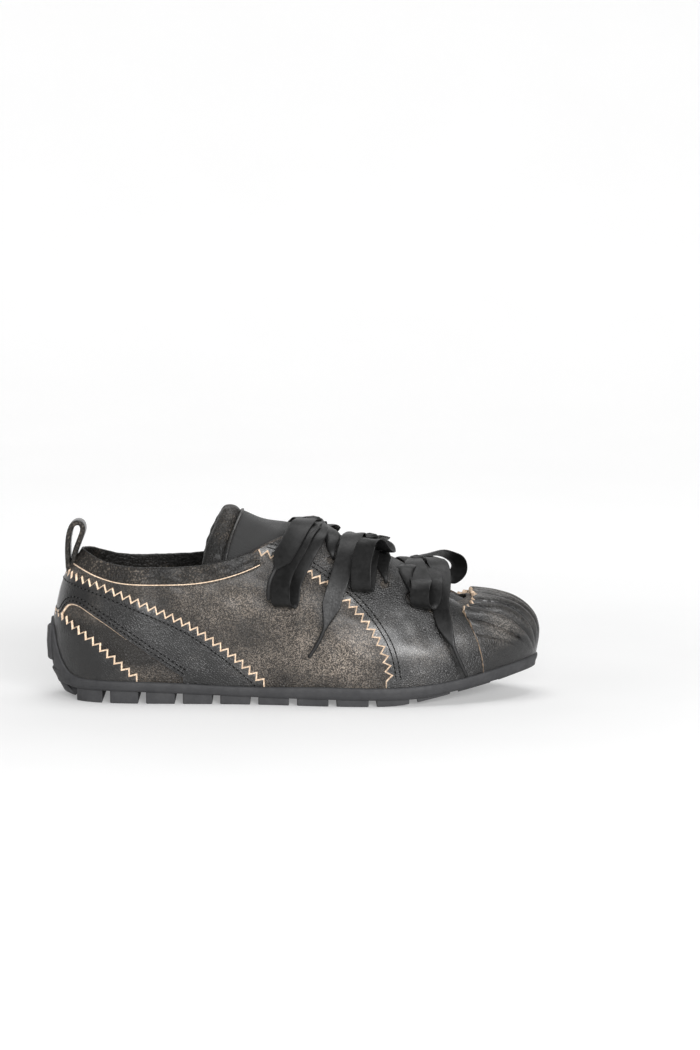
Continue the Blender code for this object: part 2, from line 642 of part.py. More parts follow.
def make_pull_loop(material, parts):
    line = np.array([
        (-120.9, 70.6), (-122.6, 77.0), (-122.2, 85.0), (-120.4, 91.2), (-117.4, 94.2), (-114.0, 94.0),
        (-112.0, 91.0), (-112.6, 86.0), (-115.2, 80.8), (-118.4, 75.0),
    ])
    along = np.append(0, np.cumsum(np.linalg.norm(np.diff(np.vstack([line, line[:1]]), axis=0), axis=1)))
    middle = smooth(along[:-1], line, np.linspace(0, along[-1], 25)[:-1], along[-1])
    ahead = np.roll(middle, -1, axis=0) - np.roll(middle, 1, axis=0)
    ahead /= np.linalg.norm(ahead, axis=1, keepdims=True)
    out = np.stack([-ahead[:, 1], ahead[:, 0]], axis=1) * 0.75
    rows = []
    for y, side in ((-6.5, -1), (6.5, -1), (6.5, 1), (-6.5, 1)):
        spot = middle + side * out
        rows.append(np.stack([spot[:, 0], np.full(24, RIBS[0, 1] + y), spot[:, 1]], axis=1))
    section = np.stack(rows, axis=1)
    return new_object("pull_loop", section, grid_faces(24, 4, True, True), material, parts)


def eyelet_places(inner):
    return on_wall(EYELETS[:, 0], EYELETS[:, 2 if inner else 1], inner)


def cut_eyelets(parts):
    """Punches the eyelets through the upper and the saddle of each side."""
    for side, inner in (("outer", False), ("inner", True)):
        for name in ("upper", "saddle_" + side):
            punches = []
            for t, s in eyelet_places(inner):
                low, high = wall(t, s, -5.0), wall(t, s, 5.0)
                axis = (high - low) / 10.0
                level = np.cross(axis, (0.0, 0.0, 1.0))
                level /= np.linalg.norm(level)
                upright = np.cross(level, axis)
                turn = np.linspace(0, 2 * np.pi, 9)[:-1, None]
                ring = (np.cos(turn) * level + np.sin(turn) * upright) * EYELET_DIAMETER / 2
                punches.append(loft("punch", [low + ring, high + ring], None, parts))
            boolean(bpy.data.objects[name], punches, "DIFFERENCE")


def make_laces(material, parts):
    """Each ribbon's crossing over the tongue as one solid, and its knot, loops and ends."""
    rows = np.arange(len(TONGUE))
    for number, bow in enumerate(BOWS):
        name = f"lace_{number + 1}_"
        lift = bow["crossing_lift"]
        strips = []
        for rear in (0, 1):
            near = eyelet_places(False)[2 * number + rear]
            far = eyelet_places(True)[2 * number + 1 - rear]
            cross_x = (EYELETS[2 * number, 0] + EYELETS[2 * number + 1, 0]) / 2
            row = np.interp(-cross_x, -TONGUE[:, 3], rows)
            crest = tongue_frame(np.array([row]))[0, 2]
            climb = [wall(near[0], s, lift) for s in (near[1] + 0.04, (near[1] + 1) / 2, 1.0)]
            descent = [wall(far[0], s, lift) for s in (1.0, (far[1] + 1) / 2, far[1] + 0.04)]
            line = np.array([*climb, crest + (0.0, 0.0, lift - 1.0), *descent])
            strips.append(ribbon(name + "crossing", line, (1.0, 0.0, 0.0), 4.6, 0.9, material, parts, 13))
        boolean(strips[0], strips[1:], "UNION")
        make_knot(name + "knot", bow["knot"], material, parts)
        taper = ((0.0, 6.0), (0.12, RIBBON_WIDTH), (0.66, RIBBON_WIDTH), (0.8, 2.4), (1.0, 2.2))
        swell = ((0.0, RIBBON), (0.66, RIBBON), (0.8, 2.0), (1.0, 2.0))
        waist = ((0.0, 5.0), (0.12, RIBBON_WIDTH), (0.88, RIBBON_WIDTH), (1.0, 5.0))
        for side, mirror in (("outer", False), ("inner", True)):
            loop, end = np.array(bow["loop"]), np.array(bow["end"])
            if mirror:
                for line in (loop, end):
                    line[:, 1] = 2 * bow["middle_y"] - line[:, 1]
            ribbon(name + "loop_" + side, loop, (1.0, 0.0, 0.0), waist, RIBBON, material, parts, 17)
            ribbon(name + "end_" + side, end, (1.0, 0.0, 0.0), taper, swell, material, parts, 13)


def make_knot(name, centre, material, parts):
    shape = bmesh.new()
    bmesh.ops.create_uvsphere(shape, u_segments=8, v_segments=5, radius=1.0)
    bmesh.ops.scale(shape, vec=KNOT_HALF_SIZE, verts=shape.verts)
    bmesh.ops.translate(shape, vec=np.subtract(centre, ORIGIN), verts=shape.verts)
    bmesh.ops.scale(shape, vec=(MM, MM, MM), verts=shape.verts)
    mesh = bpy.data.meshes.new(name)
    shape.to_mesh(mesh)
    shape.free()
    mesh.materials.append(material)
    parts.objects.link(bpy.data.objects.new(name, mesh))


def main():
    for item in list(bpy.data.objects):
        bpy.data.objects.remove(item)
    parts = bpy.data.collections.new("ballet_sneaker")
    bpy.context.scene.collection.children.link(parts)
    rubber = paint("rubber", (0.045, 0.045, 0.048), 0.75)
    leather = paint("grain_leather", (0.035, 0.032, 0.029), 0.6)
    smooth_leather = paint("smooth_leather", (0.022, 0.021, 0.021), 0.5)
    lining = paint("lining", (0.02, 0.02, 0.02), 0.7)
    cloth = paint("tongue_cloth", (0.018, 0.018, 0.018), 0.85)
    satin = paint("satin_ribbon", (0.012, 0.012, 0.012), 0.4)
    make_outsole(rubber, parts)
    make_upper(leather, parts)
    make_insole(lining, parts)
    make_tongue(cloth, parts)
    make_overlays(smooth_leather, parts)
    make_pull_loop(smooth_leather, parts)
    cut_eyelets(parts)
    make_laces(satin, parts)


main()
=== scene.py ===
"""Looks of a right ballet sneaker: distressed leather with pinked edges, a rubber sole and satin ribbon bows.

Tables are in millimetres and are those of the part: +X the toe, -Y the outer side of the foot, +Z up.
"""

from math import cos, pi, radians, sin

import bmesh
import bpy
import numpy as np
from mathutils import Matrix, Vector
from mathutils.geometry import delaunay_2d_cdt


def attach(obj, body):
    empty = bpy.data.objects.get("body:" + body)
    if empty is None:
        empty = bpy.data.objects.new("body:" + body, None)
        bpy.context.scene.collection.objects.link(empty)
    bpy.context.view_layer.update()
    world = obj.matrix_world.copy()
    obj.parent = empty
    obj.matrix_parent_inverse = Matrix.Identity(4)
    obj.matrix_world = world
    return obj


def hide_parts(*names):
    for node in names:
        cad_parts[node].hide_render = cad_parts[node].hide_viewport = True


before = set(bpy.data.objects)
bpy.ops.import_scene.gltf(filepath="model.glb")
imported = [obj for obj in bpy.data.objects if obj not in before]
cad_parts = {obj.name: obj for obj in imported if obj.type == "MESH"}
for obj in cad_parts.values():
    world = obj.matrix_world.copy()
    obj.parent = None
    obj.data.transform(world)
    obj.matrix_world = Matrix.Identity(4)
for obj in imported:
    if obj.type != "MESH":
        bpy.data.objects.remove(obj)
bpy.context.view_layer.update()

MM = 0.001
ORIGIN = np.array((-0.365, -0.472, 0.0))

# Main sizes of the part
WALL = 2.2
CUP_DEPTH = 3.2
RIM_WIDTH = 2.2
GAP = 0.3
OVERLAY = 1.0
COLLAR_HEIGHT = 9.2
COLLAR_STEP = 0.8
INSOLE = 2.6
TAB_HEIGHT = 29.5
TAB_HALF_WIDTH = 13.0
HEEL_TUCK = 6.0
SPRING_START = 44.0
SPRING_RAMP = 22.0
SPRING_SLOPE = 0.2
LUG_GAP = 4.2
EYELET_DIAMETER = 4.4

# Ribs of the upper, as in the part.
# Columns: foot_x, foot_y, top_x, top_y, top_z, rise_out, rise_up, crest_out, crest_up
RIBS = np.array([
    (-124.5, 1.2, -114.5, 1.2, 80.0, 7.0, 18.0, 14.5, -23.0),
    (-120.6, -12.5, -111.0, -11.0, 79.0, 6.0, 18.0, 13.0, -22.0),
    (-111.5, -22.0, -104.5, -19.5, 76.2, 5.0, 18.0, 9.0, -20.0),
    (-96.5, -27.8, -93.0, -25.5, 73.0, 4.0, 18.0, 5.5, -18.0),
    (-71.5, -30.3, -71.5, -28.0, 72.0, 3.2, 17.0, 3.6, -17.0),
    (-43.0, -31.6, -46.0, -28.6, 73.6, 3.0, 18.0, 3.0, -18.0),
    (-16.0, -34.3, -20.0, -26.8, 81.4, 3.0, 21.0, 4.5, -20.0),
    (8.0, -38.6, 1.0, -21.6, 89.2, 2.5, 24.0, 10.0, -17.0),
    (30.5, -41.8, 22.5, -18.9, 83.6, 2.0, 23.0, 13.0, -11.0),
    (53.0, -41.6, 45.5, -18.0, 74.2, 1.5, 21.0, 14.0, -8.5),
    (72.5, -38.0, 63.5, -17.4, 65.6, 1.5, 19.0, 13.0, -6.5),
    (90.0, -31.4, 77.0, -16.4, 57.0, 2.0, 17.0, 12.0, -5.0),
    (106.0, -22.8, 86.0, -12.4, 52.0, 3.6, 18.5, 15.5, -2.8),
    (119.8, -10.6, 92.0, -5.0, 52.6, 5.5, 22.0, 21.0, -1.0),
    (128.8, 5.6, 94.2, 3.8, 53.6, 7.2, 24.5, 26.8, -0.6),
    (123.0, 19.8, 92.4, 12.2, 52.9, 6.2, 23.0, 22.0, -1.0),
    (112.0, 30.2, 86.6, 19.2, 52.3, 4.0, 20.0, 16.0, -2.8),
    (97.0, 36.6, 78.0, 22.8, 57.2, 2.0, 18.0, 12.5, -5.0),
    (77.5, 41.0, 64.0, 22.6, 65.8, 1.5, 19.0, 14.0, -6.5),
    (56.0, 40.4, 46.0, 21.9, 74.6, 1.5, 21.0, 14.5, -8.5),
    (33.5, 36.4, 23.0, 21.1, 83.8, 2.0, 23.0, 13.0, -11.0),
    (10.0, 30.6, 1.5, 22.9, 89.4, 2.5, 24.0, 9.5, -17.0),
    (-14.5, 27.8, -19.5, 28.0, 81.8, 3.5, 21.0, 4.5, -20.0),
    (-42.0, 28.8, -46.0, 30.4, 74.2, 3.5, 18.0, 3.2, -18.0),
    (-71.0, 30.8, -71.5, 30.2, 72.6, 3.0, 17.0, 3.6, -17.0),
    (-96.0, 29.4, -93.0, 27.2, 73.4, 4.0, 18.0, 5.5, -18.0),
    (-111.3, 24.2, -104.5, 21.6, 76.4, 5.0, 18.0, 9.0, -20.0),
    (-120.5, 14.9, -111.0, 13.4, 79.1, 6.0, 18.0, 13.0, -22.0),
])
TOE_RIB = 14

# Levels of the sole. Columns: x, tread (underside of the rim), seam (top of the rim)
SOLE_LEVELS = np.array([
    (-135.0, 6.8, 12.6),
    (-85.0, 6.6, 11.9),
    (-60.0, 5.8, 11.1),
    (-35.0, 4.8, 9.8),
    (-10.0, 4.1, 9.5),
    (20.0, 3.9, 9.9),
    (50.0, 3.6, 9.6),
    (68.0, 4.5, 10.6),
    (80.0, 6.5, 11.9),
    (92.0, 8.5, 13.9),
    (104.0, 10.8, 16.6),
    (116.0, 12.9, 19.0),
    (134.0, 16.1, 22.5),
])

# Arches of the tongue. Columns: rib, foot and shoulder (share of the rib's height), crest_x, crest_z
TONGUE = np.array([
    (12.5, 0.86, 0.94, 99.0, 49.6),
    (11.6, 0.84, 0.97, 87.0, 53.4),
    (11.0, 0.82, 1.00, 77.0, 60.0),
    (10.0, 0.82, 1.00, 63.5, 68.7),
    (9.0, 0.82, 1.00, 45.5, 77.4),
    (8.0, 0.84, 1.00, 22.5, 86.6),
    (7.0, 0.84, 1.00, 1.0, 91.8),
    (6.3, 0.82, 0.97, -13.0, 94.6),
    (5.7, 0.82, 0.97, -22.0, 97.8),
    (5.3, 0.82, 0.98, -29.0, 99.8),
    (4.9, 0.82, 1.00, -38.0, 100.4),
])
TONGUE_SHEET = 2.2

# Edges of the overlays in side view. Columns: x, z
SADDLE_REAR = np.array([
    (-21.5, 81.0), (-8.0, 77.0), (6.0, 70.5), (18.0, 62.5), (30.0, 52.5), (40.0, 40.5), (46.5, 29.0),
    (50.0, 13.6),
])
BAND_UPPER = np.array([
    (-121.0, 68.5), (-112.0, 65.5), (-100.0, 62.0), (-85.0, 56.0), (-70.0, 49.5), (-55.0, 42.5),
    (-42.0, 34.0), (-30.0, 25.0), (-16.5, 13.2),
])
BAND_LOWER = np.array([
    (-127.0, 43.5), (-123.6, 44.6), (-121.6, 47.4), (-119.0, 50.6), (-115.0, 51.2), (-109.0, 48.2),
    (-102.0, 43.8), (-94.0, 38.5), (-84.0, 31.5), (-74.0, 24.5), (-66.0, 19.0), (-59.0, 14.4),
])
BAND_RAW_END = -88.0
COUNTER_UPPER = np.array([
    (-127.8, 47.6), (-121.0, 44.5), (-112.0, 38.5), (-102.0, 31.0), (-94.0, 24.0), (-83.5, 15.4),
])
CAP_RIB = 11.6
THROAT_DIP = 0.24
TOOTH_PITCH = 4.9
TOOTH_HEIGHT = 3.3

# Eyelets in side view. Columns: x, z on the outer side, z on the inner side
EYELETS = np.array([
    (8.0, 81.5, 82.0),
    (20.0, 75.6, 76.0),
    (34.0, 69.5, 70.0),
    (48.0, 63.0, 63.4),
    (61.5, 56.2, 56.8),
    (73.0, 50.0, 50.6),
])


def smooth(knots, values, at, period=None):
    """Reads a smooth curve through rows of values at the places in at; with a period it closes on itself."""
    knots, values = np.asarray(knots, float), np.asarray(values, float)
    if period:
        knots = np.append(knots, knots[0] + period)
        values = np.vstack([values, values[:1]])
        at = knots[0] + np.mod(at - knots[0], period)
    step = np.diff(knots)
    rate = np.diff(values, axis=0) / step[:, None]
    count = len(knots)
    left = np.zeros((count, count))
    right = np.zeros((count, values.shape[1]))
    for i in range(1, count - 1):
        left[i, i - 1:i + 2] = step[i], 2 * (step[i - 1] + step[i]), step[i - 1]
        right[i] = 3 * (step[i] * rate[i - 1] + step[i - 1] * rate[i])
    if period:
        left[0, [0, 1, -2]] = 2 * (step[-1] + step[0]), step[-1], step[0]
        right[0] = 3 * (step[0] * rate[-1] + step[-1] * rate[0])
        left[-1, [0, -1]] = 1, -1
    else:
        left[0, :2] = 2, 1
        right[0] = 3 * rate[0]
        left[-1, -2:] = 1, 2
        right[-1] = 3 * rate[-1]
    slope = np.linalg.solve(left, right)
    at = np.asarray(at, float)
    i = np.clip(np.searchsorted(knots, at, side="right") - 1, 0, count - 2)
    h = step[i][..., None]
    u = ((at - knots[i]) / step[i])[..., None]
    v = 1 - u
    ends = v * v * (1 + 2 * u) * values[i] + u * u * (1 + 2 * v) * values[i + 1]
    return ends + h * u * v * (v * slope[i] - u * slope[i + 1])


def unit(v):
    return v / np.maximum(np.linalg.norm(v, axis=-1, keepdims=True), 1e-12)


def lengths(line):
    """Distance along a line of points, from its first point."""
    return np.append(0, np.cumsum(np.linalg.norm(np.diff(line, axis=0), axis=1)))


def rib_places():
    """Where each row of RIBS lies around the shoe: 0 at the heel back, 0.5 at the toe tip."""
    along = lengths(np.vstack([RIBS[:, :2], RIBS[:1, :2]]))
    toe = along[TOE_RIB]
    return np.where(along <= toe, 0.5 * along / toe, 0.5 + 0.5 * (along - toe) / (along[-1] - toe))


RIB_AT = rib_places()


def ring_places(count):
    """Places around the shoe, closer together round the heel and the toe."""
    even = np.arange(count) / count
    return even - 0.35 * np.sin(4 * pi * even) / (4 * pi)


def rib_at(number):
    return np.interp(number, np.arange(len(RIB_AT)), RIB_AT)


def levels(x):
    """The tread and seam heights of the sole at x."""
    return smooth(SOLE_LEVELS[:, 0], SOLE_LEVELS[:, 1:], x)


def ground(x):
    """The height of the tread's underside at x: level, then rising to the toe."""
    past = np.maximum(np.asarray(x, float) - SPRING_START, 0)
    ramp = np.minimum(past, SPRING_RAMP)
    return SPRING_SLOPE * (ramp * ramp / (2 * SPRING_RAMP) + past - ramp)


# Small steps in t and s, to read slopes with
T_STEP = 0.0005
S_STEP = 0.001


def rib_point(t, s):
    """The point at share s of the height of the rib at place t on the outer face of the upper."""
    t, s = np.broadcast_arrays(np.asarray(t, float), np.asarray(s, float))
    row = smooth(RIB_AT[:-1], RIBS, t, 1.0)
    feet = RIBS[:, :2]
    ahead = unit(smooth(RIB_AT[:-1], feet, t + T_STEP, 1.0) - smooth(RIB_AT[:-1], feet, t - T_STEP, 1.0))
    out = np.stack([ahead[..., 1], -ahead[..., 0], np.zeros_like(t)], axis=-1)
    up = np.array([0.0, 0.0, 1.0])
    foot = np.stack([row[..., 0], row[..., 1], levels(row[..., 0])[..., 1] - CUP_DEPTH], axis=-1)
    top = row[..., 2:5]
    rise = foot + out * row[..., 5:6] + up * row[..., 6:7]
    crest = top + out * row[..., 7:8] + up * row[..., 8:9]
    s = s[..., None]
    r = 1 - s
    return r ** 3 * foot + 3 * r * r * s * rise + 3 * r * s * s * crest + s ** 3 * top


def slopes(t, s):
    """How the upper's outer face moves with t and with s, and its normal."""
    by_t = (rib_point(t + T_STEP, s) - rib_point(t - T_STEP, s)) / (2 * T_STEP)
    by_s = (rib_point(t, s + S_STEP) - rib_point(t, s - S_STEP)) / (2 * S_STEP)
    return by_t, by_s, unit(np.cross(by_t, by_s))


def wall(t, s, lift=0.0):
    """A point of the upper's outer face, moved off it by lift along the face's normal."""
    t, s, lift = np.broadcast_arrays(np.asarray(t, float), np.asarray(s, float), np.asarray(lift, float))
    return rib_point(t, s) + slopes(t, s)[2] * lift[..., None]


def moved(places, step):
    """Places (t, s) after a step in millimetres along the face."""
    by_t, by_s, _ = slopes(*places.T)
    turn = np.stack([by_t, by_s], axis=-1)
    return places + np.einsum("nij,nj->ni", np.linalg.pinv(turn), step)


def on_wall(x, z, inner=False):
    """The place and share (t, s) of the point of one side that shows at x, z in side view."""
    low = 0.5 if inner else 0.0
    t_grid = np.linspace(low + 0.002, low + 0.498, 120)[:, None]
    s_grid = np.linspace(0.0, 1.0, 41)[None, :]
    grid = rib_point(t_grid, s_grid)
    found = []
    for px, pz in zip(np.ravel(x), np.ravel(z)):
        away = (grid[..., 0] - px) ** 2 + (grid[..., 2] - pz) ** 2
        i, j = np.unravel_index(away.argmin(), away.shape)
        t, s = t_grid[i, 0], s_grid[0, j]
        for _ in range(12):
            here = rib_point(t, s)
            by_t = (rib_point(t + T_STEP, s) - here) / T_STEP
            by_s = (rib_point(t, s + S_STEP) - here) / S_STEP
            jacobian = np.array([[by_t[0], by_s[0]], [by_t[2], by_s[2]]])
            move = np.linalg.lstsq(jacobian, np.array([px - here[0], pz - here[2]]), rcond=None)[0]
            t = np.clip(t + np.clip(move[0], -0.01, 0.01), low, low + 0.5)
            s = np.clip(s + np.clip(move[1], -0.1, 0.1), 0.0, 1.0)
        found.append((t, s))
    return np.array(found)


def rim_share(t):
    """The share of each rib's height that the sole's rim and heel tab cover."""
    t = np.atleast_1d(np.asarray(t, float))
    foot = rib_point(t, 0.0)
    from_middle = np.abs(foot[:, 1] - RIBS[0, 1])
    tab = TAB_HEIGHT * np.exp(-(from_middle / TAB_HALF_WIDTH) ** 2.4) * (foot[:, 0] < -60)
    height = levels(foot[:, 0])[:, 1] + tab
    s = np.linspace(0.0, 1.0, 161)
    z = rib_point(t[:, None], s[None, :])[..., 2]
    return np.array([np.interp(h, row, s) for h, row in zip(height, z)])


def ripples(points, size, seed, count=28):
    """Seeded smooth noise of about -1 to 1 with waves of about the given size."""
    rng = np.random.default_rng(seed)
    way = unit(rng.normal(size=(count, 3))) * (2 * pi / size * rng.uniform(0.7, 1.5, (count, 1)))
    phase = rng.uniform(0, 2 * pi, count)
    return np.sin(points @ way.T + phase).sum(axis=-1) / np.sqrt(count)


# Soft creases of the leather in side view, on both sides: a line from x, z to x, z with its width and depth
CREASES = np.array([
    (54.0, 50.0, 64.0, 34.0, 4.0, -0.25),
    (62.0, 46.0, 74.0, 32.0, 3.6, -0.2),
    (58.0, 47.0, 69.0, 33.0, 3.6, 0.2),
    (-34.0, 62.0, -22.0, 40.0, 4.0, -0.35),
    (-100.0, 56.0, -86.0, 44.0, 5.0, -0.3),
    (10.0, 40.0, 30.0, 24.0, 4.0, -0.35),
])


def relief(points):
    """How far the worn leather stands off its last: broad waves and the creases."""
    swell = 0.22 * ripples(points, 34.0, 3) + 0.1 * ripples(points, 13.0, 4)
    x, z = points[..., 0], points[..., 2]
    for x0, z0, x1, z1, width, depth in CREASES:
        dx, dz = x1 - x0, z1 - z0
        along = np.clip(((x - x0) * dx + (z - z0) * dz) / (dx * dx + dz * dz), 0, 1)
        away = np.hypot(x - x0 - along * dx, z - z0 - along * dz)
        swell = swell + depth * np.exp(-(away / width) ** 2) * np.sin(pi * along) ** 0.7
    return swell


def skin(t, s, lift=0.0):
    """A point of the worn leather's face, moved off it by lift."""
    t, s, lift = np.broadcast_arrays(np.asarray(t, float), np.asarray(s, float), np.asarray(lift, float))
    base = rib_point(t, s)
    return base + slopes(t, s)[2] * (lift + relief(base))[..., None]


def columns(*parts):
    """Lines of numbers, or single numbers, side by side as the columns of a table."""
    return np.stack(np.broadcast_arrays(*parts), axis=-1)


def grid_faces(rows, count, ring_rows=False, ring_columns=False):
    """Faces of a grid with count points to a row, closed on itself where a ring is asked for."""
    i, j = np.meshgrid(np.arange(rows if ring_rows else rows - 1),
                       np.arange(count if ring_columns else count - 1), indexing="ij")
    k, m = (i + 1) % rows, (j + 1) % count
    return columns(i * count + j, k * count + j, k * count + m, i * count + m).reshape(-1, 4)


def capped(rings):
    """Faces of a tube of rings with closed ends."""
    rows, count = rings.shape[:2]
    ends = [tuple(range(count)), tuple(range((rows - 1) * count, rows * count))[::-1]]
    return grid_faces(rows, count, ring_columns=True).tolist() + ends


def shifted(faces, start):
    """Faces for points that come after start others."""
    return [tuple(start + k for k in face) for face in faces]


def metres(points):
    return (np.asarray(points, float) - ORIGIN) * MM


def new_mesh(name, points, faces, materials, flat=False):
    """A mesh from points in metres, with smooth faces unless it is flat."""
    mesh = bpy.data.meshes.new(name)
    mesh.from_pydata(points.reshape(-1, 3).tolist(), [], faces.tolist() if isinstance(faces, np.ndarray) else faces)
    for key in materials:
        mesh.materials.append(MATERIALS[key])
    if not flat:
        mesh.polygons.foreach_set("use_smooth", np.ones(len(mesh.polygons), bool))
    return mesh


def placed(name, data):
    """A new object in the scene."""
    item = bpy.data.objects.new(name, data)
    bpy.context.scene.collection.objects.link(item)
    return item


def apply_modifier(item, kind, **settings):
    """Puts a modifier on a piece and applies it."""
    step = item.modifiers.new("step", kind)
    for key, value in settings.items():
        setattr(step, key, value)
    bpy.context.view_layer.objects.active = item
    bpy.ops.object.modifier_apply(modifier=step.name)


def piece(name, points, faces, materials, replaces=(), index=None, wear_and_highlight=None, flat=False):
    """A new piece of the shoe from points in millimetres, riding on the body."""
    mesh = new_mesh(name, metres(points), faces, materials, flat)
    if index is not None:
        mesh.polygons.foreach_set("material_index", np.asarray(index, np.int32))
    if wear_and_highlight is not None:
        mesh.attributes.new("wear_and_highlight", "FLOAT", "POINT").data.foreach_set("value", np.ravel(wear_and_highlight).astype(np.float32))
    shape = bmesh.new()
    shape.from_mesh(mesh)
    bmesh.ops.recalc_face_normals(shape, faces=shape.faces)
    shape.to_mesh(mesh)
    shape.free()
    item = placed(name, mesh)
    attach(item, "root")
    if replaces:
        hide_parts(*replaces)
    return item


# Materials

def new_material(name, colour, roughness, **values):
    """A Principled material, its shader, and helpers to wire nodes to it."""
    material = bpy.data.materials.new(name)
    material.use_nodes = True
    shader = material.node_tree.nodes["Principled BSDF"]
    shader.inputs["Base Color"].default_value = (*colour, 1.0)
    shader.inputs["Roughness"].default_value = roughness
    for key, value in values.items():
        shader.inputs[key.replace("_", " ")].default_value = value
    material.diffuse_color = (*colour, 1.0)
    return material, shader, Wires(material)


class Wires:
    """Short names for the nodes of one material."""

    def __init__(self, material):
        self.tree = material.node_tree
        self.place = self.tree.nodes.new("ShaderNodeTexCoord").outputs["Object"]

    def link(self, output, socket):
        self.tree.links.new(output, socket)

    def noise(self, scale, detail=4.0, roughness=0.55):
        node = self.tree.nodes.new("ShaderNodeTexNoise")
        node.inputs["Scale"].default_value = scale
        node.inputs["Detail"].default_value = detail
        node.inputs["Roughness"].default_value = roughness
        self.link(self.place, node.inputs["Vector"])
        return node.outputs["Fac"]

    def cells(self, scale):
        node = self.tree.nodes.new("ShaderNodeTexVoronoi")
        node.feature = "DISTANCE_TO_EDGE"
        node.inputs["Scale"].default_value = scale
        self.link(self.place, node.inputs["Vector"])
        return node.outputs["Distance"]

    def wave(self, scale, direction):
        node = self.tree.nodes.new("ShaderNodeTexWave")
        node.bands_direction = direction
        node.inputs["Scale"].default_value = scale
        self.link(self.place, node.inputs["Vector"])
        return node.outputs["Fac"]

    def distance(self, scale):
        """The distance from the middle of the floor."""
        node = self.tree.nodes.new("ShaderNodeVectorMath")
        node.operation = "LENGTH"
        self.link(self.place, node.inputs[0])
        return self.math("MULTIPLY", node.outputs["Value"], scale)

    def attribute(self, name):
        node = self.tree.nodes.new("ShaderNodeAttribute")
        node.attribute_name = name
        return node.outputs["Fac"]

    def ramp(self, value, stops):
        node = self.tree.nodes.new("ShaderNodeValToRGB")
        ramp = node.color_ramp
        while len(ramp.elements) < len(stops):
            ramp.elements.new(0.5)
        for element, (at, colour) in zip(ramp.elements, stops):
            element.position = at
            element.color = (*colour, 1.0) if np.ndim(colour) else (colour, colour, colour, 1.0)
        self.link(value, node.inputs["Fac"])
        return node.outputs["Color"]

    def math(self, kind, a, b):
        node = self.tree.nodes.new("ShaderNodeMath")
        node.operation = kind
        for socket, value in zip(node.inputs, (a, b)):
            if isinstance(value, (int, float)):
                socket.default_value = value
            else:
                self.link(value, socket)
        return node.outputs["Value"]

    def mix(self, share, a, b):
        node = self.tree.nodes.new("ShaderNodeMix")
        node.data_type = "RGBA"
        self.link(share, node.inputs[0])
        for socket, value in ((node.inputs[6], a), (node.inputs[7], b)):
            if isinstance(value, tuple):
                socket.default_value = (*value, 1.0)
            else:
                self.link(value, socket)
        return node.outputs[2]

    def bump(self, height, strength, distance, normal=None):
        node = self.tree.nodes.new("ShaderNodeBump")
        node.inputs["Strength"].default_value = strength
        node.inputs["Distance"].default_value = distance
        self.link(height, node.inputs["Height"])
        if normal:
            self.link(normal, node.inputs["Normal"])
        return node.outputs["Normal"]


def leather(name, dark, light, rub_and_highlight_colour, grain, rub_share, speck_from, roughness, bump, coat, specular,
            speck_scale=1650):
    """Leather with pebble grain and tone clouds, and pale specks that thicken where the point attribute is high; that
    attribute holds rubbed wear and, in places, painted highlights.
    """
    material, shader, w = new_material(name, dark, roughness, Coat_Weight=coat, Coat_Roughness=0.22,
                                       Specular_IOR_Level=specular)
    tone = w.mix(w.ramp(w.noise(55, 5), [(0.3, 0.0), (0.7, 1.0)]), dark, light)
    fleck = w.math("ADD", w.math("MULTIPLY", w.noise(speck_scale, 2, 0.6), 0.65),
                   w.math("MULTIPLY", w.noise(700, 4, 0.7), 0.35))
    specks = w.ramp(fleck, [(speck_from, 0.0), (speck_from + 0.065, 1.0)])
    clouds = w.math("SUBTRACT", w.noise(42, 5, 0.6), 0.5)
    # Where the pale specks gather: rubbed wear and painted highlights from the point attribute, and clouds.
    density = w.math("ADD", w.math("MULTIPLY", w.attribute("wear_and_highlight"), 0.3), w.math("MULTIPLY", clouds, 0.8))
    density = w.ramp(w.math("ADD", density, rub_share), [(0.0, 0.0), (1.0, 1.0)])
    amount = w.math("MULTIPLY", density, w.math("ADD", specks, 0.1))
    w.link(w.mix(amount, tone, rub_and_highlight_colour), shader.inputs["Base Color"])
    rough = w.ramp(w.noise(260, 4), [(0.3, roughness - 0.08), (0.7, roughness + 0.1)])
    w.link(rough, shader.inputs["Roughness"])
    pebbles = w.bump(w.ramp(w.cells(grain), [(0.0, 0.0), (0.22, 1.0)]), bump, 0.00035)
    fine = w.bump(w.noise(1500, 3, 0.7), bump, 0.0003, pebbles)
    w.link(w.bump(w.noise(160, 4, 0.6), bump * 0.6, 0.0008, fine), shader.inputs["Normal"])
    return material


def plain(name, colour, roughness, tone, rough=None, bump=None, **values):
    """A material with a noise for its tone and, where given, for its roughness and its bump.

    Tone and rough are (noise, stop, stop); bump is (noise, strength, distance).
    """
    material, shader, w = new_material(name, colour, roughness, **values)
    for key, look in (("Base Color", tone), ("Roughness", rough)):
        if look:
            w.link(w.ramp(w.noise(*look[0]), look[1:]), shader.inputs[key])
    if bump:
        w.link(w.bump(w.noise(*bump[0]), *bump[1:]), shader.inputs["Normal"])
    return material


